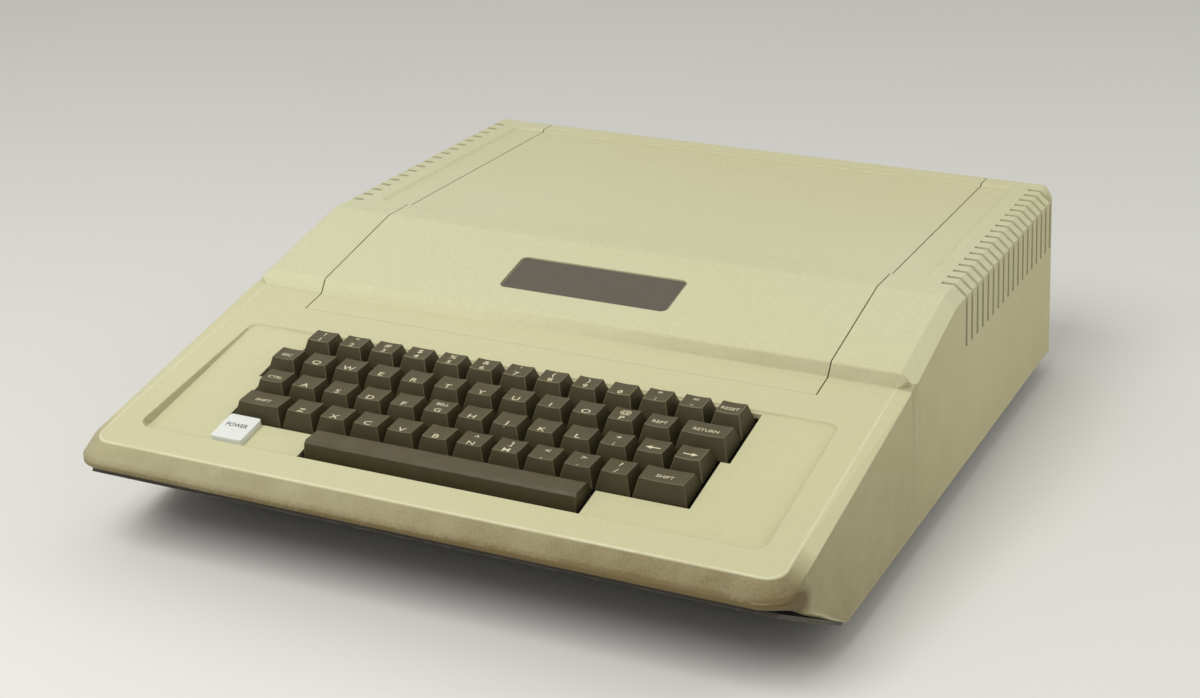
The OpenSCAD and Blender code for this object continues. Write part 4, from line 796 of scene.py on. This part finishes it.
# Each single key: where it starts and its width, in pitches, its row, its upper and lower legend
SINGLE_KEYS = {f"key_{name}": (i - 0.5, 1, 0, sign.strip(), lower) for i, (name, sign, lower) in
               enumerate(zip((*"1234567890", "colon", "minus"), "!\"#$%&'() *=", "1234567890:-"))}
SINGLE_KEYS.update({
    "reset_key": (11.5, 1, 0, "RESET", None), "escape_key": (-1, 1, 1, "ESC", None),
    "repeat_key": (10, 1, 1, "REPT", None), "return_key": (11, 1.5, 1, "RETURN", None),
    "control_key": (-0.75, 1, 2, "CTRL", None), "left_arrow_key": (10.25, 1, 2, "<-", None),
    "right_arrow_key": (11.25, 1, 2, "->", None), "left_shift_key": (-0.75, 1.5, 3, "SHIFT", None),
    "right_shift_key": (10.75, 1.5, 3, "SHIFT", None),
})
# Each letter row: where it starts, its row, and each key's upper legend, if any, with its letter
LETTER_ROWS = {"upper_letter_keys": (0, 1, "Q W E R T Y U I O @P"),
               "home_letter_keys": (0.25, 2, "A S D F BELLG H J K L +;"),
               "lower_letter_keys": (0.75, 3, "Z X C V B ^N ]M <, >. ?/")}


def arrow(way, height):
    """An arrow as a closed flat form, to the right for 1 and to the left for -1."""
    form = bmesh.new()
    face = form.faces.new([form.verts.new((x*way*height*0.78, (y + 0.5)*height, 0)) for x, y in ARROW])
    if way < 0:
        face.normal_flip()
    made = bmesh.ops.extrude_face_region(form, geom=[face])
    bmesh.ops.translate(form, verts=[v for v in made["geom"] if isinstance(v, bmesh.types.BMVert)],
                        vec=(0, 0, -LEGEND_DEPTH))
    bmesh.ops.recalc_face_normals(form, faces=form.faces)
    return form


def letters(body, height):
    """Letters as a closed flat form, centred on X, their foot on Y = 0, from Z = 0 down."""
    if body in ("<-", "->"):
        return arrow(1 if body == "->" else -1, height)
    text = bpy.data.curves.new("letters", "FONT")
    text.body, text.align_x, text.resolution_u = body, "CENTER", 3
    text.size, text.extrude, text.offset = height/0.7, LEGEND_DEPTH/2, height*0.008
    form = form_of(plain_mesh(placed("letters", text)))
    bmesh.ops.remove_doubles(form, verts=form.verts, dist=1e-6)
    bmesh.ops.translate(form, verts=form.verts, vec=(0, 0, -LEGEND_DEPTH/2))
    middle = (min(v.co.x for v in form.verts) + max(v.co.x for v in form.verts))/2
    bmesh.ops.translate(form, verts=form.verts, vec=(-middle, 0, 0))
    return form


class CapTop:
    """The top of one key as a place for its legend, felt from above on the cap's own mesh."""

    def __init__(self, looks, felt, start, units, row):
        pitch = looks.pitch
        self.felt = felt
        self.middle = FIRST_KEY_X + (start + units/2)*pitch
        self.rear = (-row*pitch - CAP_GAP/2 - BACK_INSET, BACK_HEIGHT - row*BACK_FALL)
        self.front = (-(row + 1)*pitch + CAP_GAP/2 + FRONT_INSET - row*INSET_FALL,
                      FRONT_HEIGHT - row*FRONT_FALL)
        self.length = math.hypot(self.rear[0] - self.front[0], self.rear[1] - self.front[1])

    def point(self, across, forward, over):
        """A point across from the middle, forward of the rear edge, and over the dished face."""
        share = forward/self.length
        y, z = (rear + (front - rear)*share for rear, front in zip(self.rear, self.front))
        down = KEY_FLOOR.to_3x3() @ Vector((0, 0, -1))
        start = KEY_FLOOR @ Vector((self.middle + across, y, z + FEEL_FROM))
        place = self.felt.ray_cast(start, down, FEEL_FROM*2)[0]
        if place is None:
            raise RuntimeError("a legend runs off its cap")
        return place - down*over

    def lay(self, target, body, height, foot, over, width=LETTER_WIDTH):
        """Lays letters with their foot so far from the rear edge."""
        form = letters(body, height)
        for vertex in form.verts:
            vertex.co = self.point(vertex.co.x*width, foot - vertex.co.y, over + vertex.co.z)
        mesh = mesh_of(form, "letters")
        target.from_mesh(mesh)
        bpy.data.meshes.remove(mesh)


def lay_legend(target, looks, top, upper, lower):
    """Lays a key's one or two legends on its top."""
    front = top.length - looks.margin
    if lower is None and upper in ("<-", "->"):
        height = looks.symbol*0.95
        top.lay(target, upper, height, top.length*ARROW_MIDDLE + height/2, looks.proud, 1.2)
    elif lower is None and len(upper) == 1:
        top.lay(target, upper, looks.letter, front, looks.proud)
    elif lower is None:
        top.lay(target, upper, looks.word, top.length*WORD_MIDDLE + looks.word/2, looks.proud, 1.0)
    else:
        height, width = (looks.word, 0.95) if len(upper) > 1 else (looks.symbol, LETTER_WIDTH)
        if upper:
            top.lay(target, upper, height, top.length*UPPER_MIDDLE + height/2, looks.proud, width)
        top.lay(target, lower, looks.letter*0.9, front, looks.proud)
        if lower == "0":
            # the zero is struck through
            top.lay(target, "/", looks.letter*0.8, front - looks.letter*0.06, looks.proud)


def joined(cap, legend):
    """One mesh of a cap and its legend, the legend in the second material. The cap's mesh goes."""
    name, form = cap.name, form_of(cap)
    count = len(form.faces)
    mesh = mesh_of(legend, name)
    form.from_mesh(mesh)
    form.faces.ensure_lookup_table()
    for face in form.faces[count:]:
        face.material_index = 1
        face.smooth = False
    form.to_mesh(mesh)
    form.free()
    return mesh


# ---- operators

class CasePieces(bpy.types.Operator):
    """Top case and lid in aged, grained plastic with soft edges"""
    bl_idname = "homecomputer.case_plastic"
    bl_label = "Top case and lid"

    def execute(self, context):
        looks = context.scene.case_plastic
        finish = case_finish(looks)
        for node, body in (("top_case", "housing"), ("lid", "lid")):
            shell = smoothed(merged(node, 0.05), node + "_shell", sharp=12)
            finished(node + "_shell", shell, body, [node], [finish])
        dress(moulded("Raw plastic", looks.inside, 0.6), "lid_catches")
        return {"FINISHED"}


class KeyPieces(bpy.types.Operator):
    """Rounded key caps with rubbed edges, a painted highlight on their bevels, their legends, and the space
    bar
    """
    bl_idname = "homecomputer.key_caps"
    bl_label = "Key caps and legends"

    def execute(self, context):
        looks = context.scene.key_caps
        # the third finish, on the caps' bevel faces, is a lighter plastic: a painted highlight along their
        # edges, with their wear
        finishes = [cap_finish("Key plastic", looks, looks.colour),
                    print_finish("Legend plastic", looks.legend),
                    cap_finish("Polished key edges", looks, looks.wear_and_highlight)]

        def caps(node, row, marks):
            """The caps of one node. Each mark is (start, units, upper legend, lower legend)."""
            # the bevel faces take the third slot, the painted edge highlight
            mesh = smoothed(merged(node), node + "_cap", looks.edge_radius, 2, 50, 2)
            felt = BVHTree.FromPolygons([v.co for v in mesh.vertices],
                                        [face.vertices for face in mesh.polygons])
            legend = bmesh.new()
            for start, units, upper, lower in marks:
                lay_legend(legend, looks, CapTop(looks, felt, start, units, row), upper, lower)
            finished(node + "_cap", joined(mesh, legend), node + "_body", [node], finishes)

        for node, (start, units, row, upper, lower) in SINGLE_KEYS.items():
            caps(node, row, [(start, units, upper, lower)])
        for node, (start, row, marks) in LETTER_ROWS.items():
            pairs = [(mark[:-1], mark[-1]) if len(mark) > 1 else (mark, None) for mark in marks.split()]
            caps(node, row, [(start + i, 1, *pair) for i, pair in enumerate(pairs)])
        bar = smoothed(merged("space_bar"), "space_bar_cap", looks.edge_radius*1.5, 3, 50)
        finished("space_bar_cap", bar, "space_bar_body", ["space_bar"], finishes[:1])
        return {"FINISHED"}


class PlateAndLampPieces(bpy.types.Operator):
    """The bare name plate, and the lamp cover with its printed word"""
    bl_idname = "homecomputer.plate_and_lamp"
    bl_label = "Name plate and lamp"

    def execute(self, context):
        looks = context.scene.plate_and_lamp
        plate = smoothed(merged("name_plate"), "bare_plate", looks.plate_radius)
        finished("bare_plate", plate, "lid", ["name_plate"],
                 [plate_finish(looks, *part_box("name_plate"))])
        cover = smoothed(merged("power_lamp_cover"), "lamp_cover", looks.edge_radius, 3, 50)
        word = letters("POWER", looks.word_height)
        lo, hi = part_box("power_lamp_cover")
        local = KEY_FLOOR.inverted()
        top = max((local @ v.co).z for v in frame["nodes"]["power_lamp_cover"].data.vertices)
        middle = local @ ((lo + hi)/2)
        foot = middle.y + looks.word_behind - looks.word_height/2
        for vertex in word.verts:
            x, y, z = vertex.co
            vertex.co = KEY_FLOOR @ Vector((middle.x + x*0.84, foot + y, top + looks.proud + z))
        finished("lamp_cover", joined(cover, word), "housing", ["power_lamp_cover"],
                 [cover_finish(looks), print_finish("Lamp print", looks.word)])
        dress(moulded("Lamp bulb", looks.bulb, 0.25), "power_lamp")
        return {"FINISHED"}


class BasePieces(bpy.types.Operator):
    """Painted base pan, rubber feet and steel screws"""
    bl_idname = "homecomputer.base"
    bl_label = "Base, feet and screws"

    def execute(self, context):
        looks = context.scene.base_and_rear
        dress(painted_steel(looks), "base_pan")
        dress(moulded("Foot rubber", looks.rubber, 0.7, 0.0008), "rubber_feet")
        dress(bare_metal("Screw steel", looks.steel), "base_screws", "keyboard_screws", "supply_screws")
        return {"FINISHED"}


class RearPieces(bpy.types.Operator):
    """Mains inlet, switch, rocker and sockets at the rear"""
    bl_idname = "homecomputer.rear"
    bl_label = "Inlet, switch and sockets"

    def execute(self, context):
        looks = context.scene.base_and_rear
        black = moulded("Black plastic", looks.black_plastic, 0.38)
        dress(black, "mains_inlet", "switch_housing", "power_rocker", "game_socket")
        dress(bare_metal("Jack metal", looks.jacks, 0.28, 200.0), "video_jack", "cassette_jacks")
        return {"FINISHED"}


class InsidePieces(bpy.types.Operator):
    """Boards, chips with their legs, card slots with their contacts, supply, loudspeaker and wiring"""
    bl_idname = "homecomputer.inside"
    bl_label = "Boards and supply"

    def execute(self, context):
        looks = context.scene.boards
        rear = context.scene.base_and_rear
        dress(board_finish(looks), "logic_board", "keyboard_board", "encoder_board", "supply_board")
        chips = ("processor_chip", "memory_chips", "logic_chips")
        dress(moulded("Chip body", looks.chip, 0.5, 0.0003), *chips)
        dress(moulded("Slot plastic", looks.slot, 0.5), "card_slots")
        dress(moulded("Standoff", looks.standoff, 0.4), "board_standoffs")
        dress(ribbon_finish(looks), "keyboard_ribbon")
        dress(bare_metal("Speaker metal", looks.speaker), "speaker_frame")
        dress(cone_finish(looks), "speaker_cone")
        dress(bare_metal("Supply metal", rear.supply), "supply_box", "supply_cover")
        dress(winding_finish(looks), "supply_transformer")
        dress(moulded("Cable jacket", looks.cable, 0.5), "wiring")
        dress(moulded("Key plate paint", looks.key_plate, 0.5), "key_plate")
        dress(moulded("Switch plastic", looks.switches, 0.4), "key_switches")

        board_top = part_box("logic_board")[1].z
        points = []
        for lo, hi in itertools.chain(*map(islands, chips)):
            count = max(int((hi.x - lo.x - 1*MM)/looks.leg_pitch), 2)
            first = (lo.x + hi.x)/2 - (count - 1)*looks.leg_pitch/2
            for i in range(count):
                x = first + i*looks.leg_pitch
                points.append(((x, lo.y - looks.leg_gap, board_top), math.pi))
                points.append(((x, hi.y + looks.leg_gap, board_top), 0.0))
        tin = bare_metal("Tinned legs", looks.tin, 0.3, 400.0)
        legs = stand_rows("chip_legs", row_tree("Bent legs", tin), points,
                          (looks.leg_width, looks.leg_thickness, looks.leg_height))
        finished("chip_legs", legs, "housing")

        points = []
        for lo, hi in islands("card_slots"):
            first = (lo.y + hi.y)/2 - (looks.contacts - 1)*looks.leg_pitch/2
            foot = hi.z - looks.ledge - looks.contact_height + looks.leg_thickness/2 + looks.contact_gap
            aside = looks.groove/2 - looks.leg_thickness/2 - looks.contact_gap
            for i, side in itertools.product(range(looks.contacts), (-1, 1)):
                place = ((lo.x + hi.x)/2 + side*aside, first + i*looks.leg_pitch, foot)
                points.append((place, side*math.pi/2))
        gold = bare_metal("Contact metal", looks.gold, 0.3, 400.0)
        contacts = stand_rows("slot_contacts", row_tree("Slot contacts", gold), points,
                              (looks.contact_width, looks.leg_thickness, looks.contact_height))
        finished("slot_contacts", contacts, "housing")
        return {"FINISHED"}


# How the camera is turned; its place and its lens are in the Studio settings
CAMERA_TURN = Matrix(((0.90632152, -0.15183638, 0.39436913), (0.42258742, 0.32803, -0.84487643),
                      (-0.00108193, 0.93238513, 0.3614648)))
FLOOR_REACH, SENSOR_WIDTH, CLIP_START = 6.0, 36.0, 0.01
SOFT_LIGHT, SOFT_STRENGTH = (0.95, 0.94, 0.9, 1.0), 0.5


class StagePieces(bpy.types.Operator):
    """Pale floor, soft lamps and the camera"""
    bl_idname = "homecomputer.stage"
    bl_label = "Floor, lamps and camera"

    def execute(self, context):
        looks = context.scene.studio
        form = bmesh.new()
        bmesh.ops.create_grid(form, x_segments=1, y_segments=1, size=FLOOR_REACH)
        floor = placed("floor", mesh_of(form, "floor"))
        finish = Finish("Floor", looks.floor, 0.85)
        shade = finish.noise(3.0).ramp(0.3, 0.7, 0.985, 1.0)
        floor.data.materials.append(finish.wire(Base_Color=finish.dimmed(looks.floor, shade)))

        for name, watts, size, place in (("key_lamp", looks.key_light, 1.0, looks.key_place),
                                         ("fill_lamp", looks.fill_light, 0.9, looks.fill_place)):
            lamp = bpy.data.lights.new(name, "AREA")
            lamp.energy, lamp.size = watts, size
            holder = placed(name, lamp)
            holder.location = place
            way = Vector(looks.aim) - Vector(place)
            holder.rotation_euler = way.to_track_quat("-Z", "Y").to_euler()

        # lit softly from all around, and seen as the floor's own colour
        world = bpy.data.worlds.new("Studio")
        context.scene.world = world
        world.use_nodes = True
        world.node_tree.nodes.clear()
        nodes = Nodes(world.node_tree)
        seen = nodes.put("ShaderNodeLightPath", output="Is Camera Ray")
        for ray in ("Is Glossy Ray", "Is Transmission Ray"):
            seen = seen.most(nodes.put("ShaderNodeLightPath", output=ray))
        soft = nodes.put("ShaderNodeBackground", {"Color": SOFT_LIGHT, "Strength": SOFT_STRENGTH})
        pale = nodes.put("ShaderNodeBackground", {"Color": looks.floor, "Strength": 1.0})
        both = nodes.put("ShaderNodeMixShader", {0: seen, 1: soft, 2: pale})
        nodes.put("ShaderNodeOutputWorld", {"Surface": both})

        lens = bpy.data.cameras.new("camera")
        lens.lens, lens.sensor_width, lens.clip_start = looks.lens, SENSOR_WIDTH, CLIP_START
        camera = placed("camera", lens)
        camera.matrix_world = Matrix.Translation(looks.camera) @ CAMERA_TURN.to_4x4()
        context.scene.camera = camera
        context.scene.view_settings.view_transform = "Standard"
        return {"FINISHED"}


PIECES = (CasePieces, KeyPieces, PlateAndLampPieces, BasePieces, RearPieces, InsidePieces, StagePieces)


class HomeComputerPanel(bpy.types.Panel):
    """The pieces of the home computer, in the order they are made"""
    bl_idname = "VIEW3D_PT_home_computer"
    bl_label = "Home computer"
    bl_space_type = "VIEW_3D"
    bl_region_type = "UI"
    bl_category = "Home computer"

    def draw(self, context):
        for piece in PIECES:
            self.layout.operator(piece.bl_idname)
        for name, group in GROUPS.items():
            box = self.layout.box()
            for prop in group.__annotations__:
                box.prop(getattr(context.scene, name), prop)


def register():
    for group in GROUPS.values():
        bpy.utils.register_class(group)
    for piece in (*PIECES, HomeComputerPanel):
        bpy.utils.register_class(piece)
    for name, group in GROUPS.items():
        setattr(bpy.types.Scene, name, PointerProperty(type=group))


def unregister():
    for name in GROUPS:
        delattr(bpy.types.Scene, name)
    for piece in (HomeComputerPanel, *reversed(PIECES)):
        bpy.utils.unregister_class(piece)
    for group in reversed(list(GROUPS.values())):
        bpy.utils.unregister_class(group)


def main():
    register()
    for piece in PIECES:
        group, name = piece.bl_idname.split(".")
        getattr(getattr(bpy.ops, group), name)()
    bpy.context.view_layer.update()


if __name__ == "__main__":
    main()
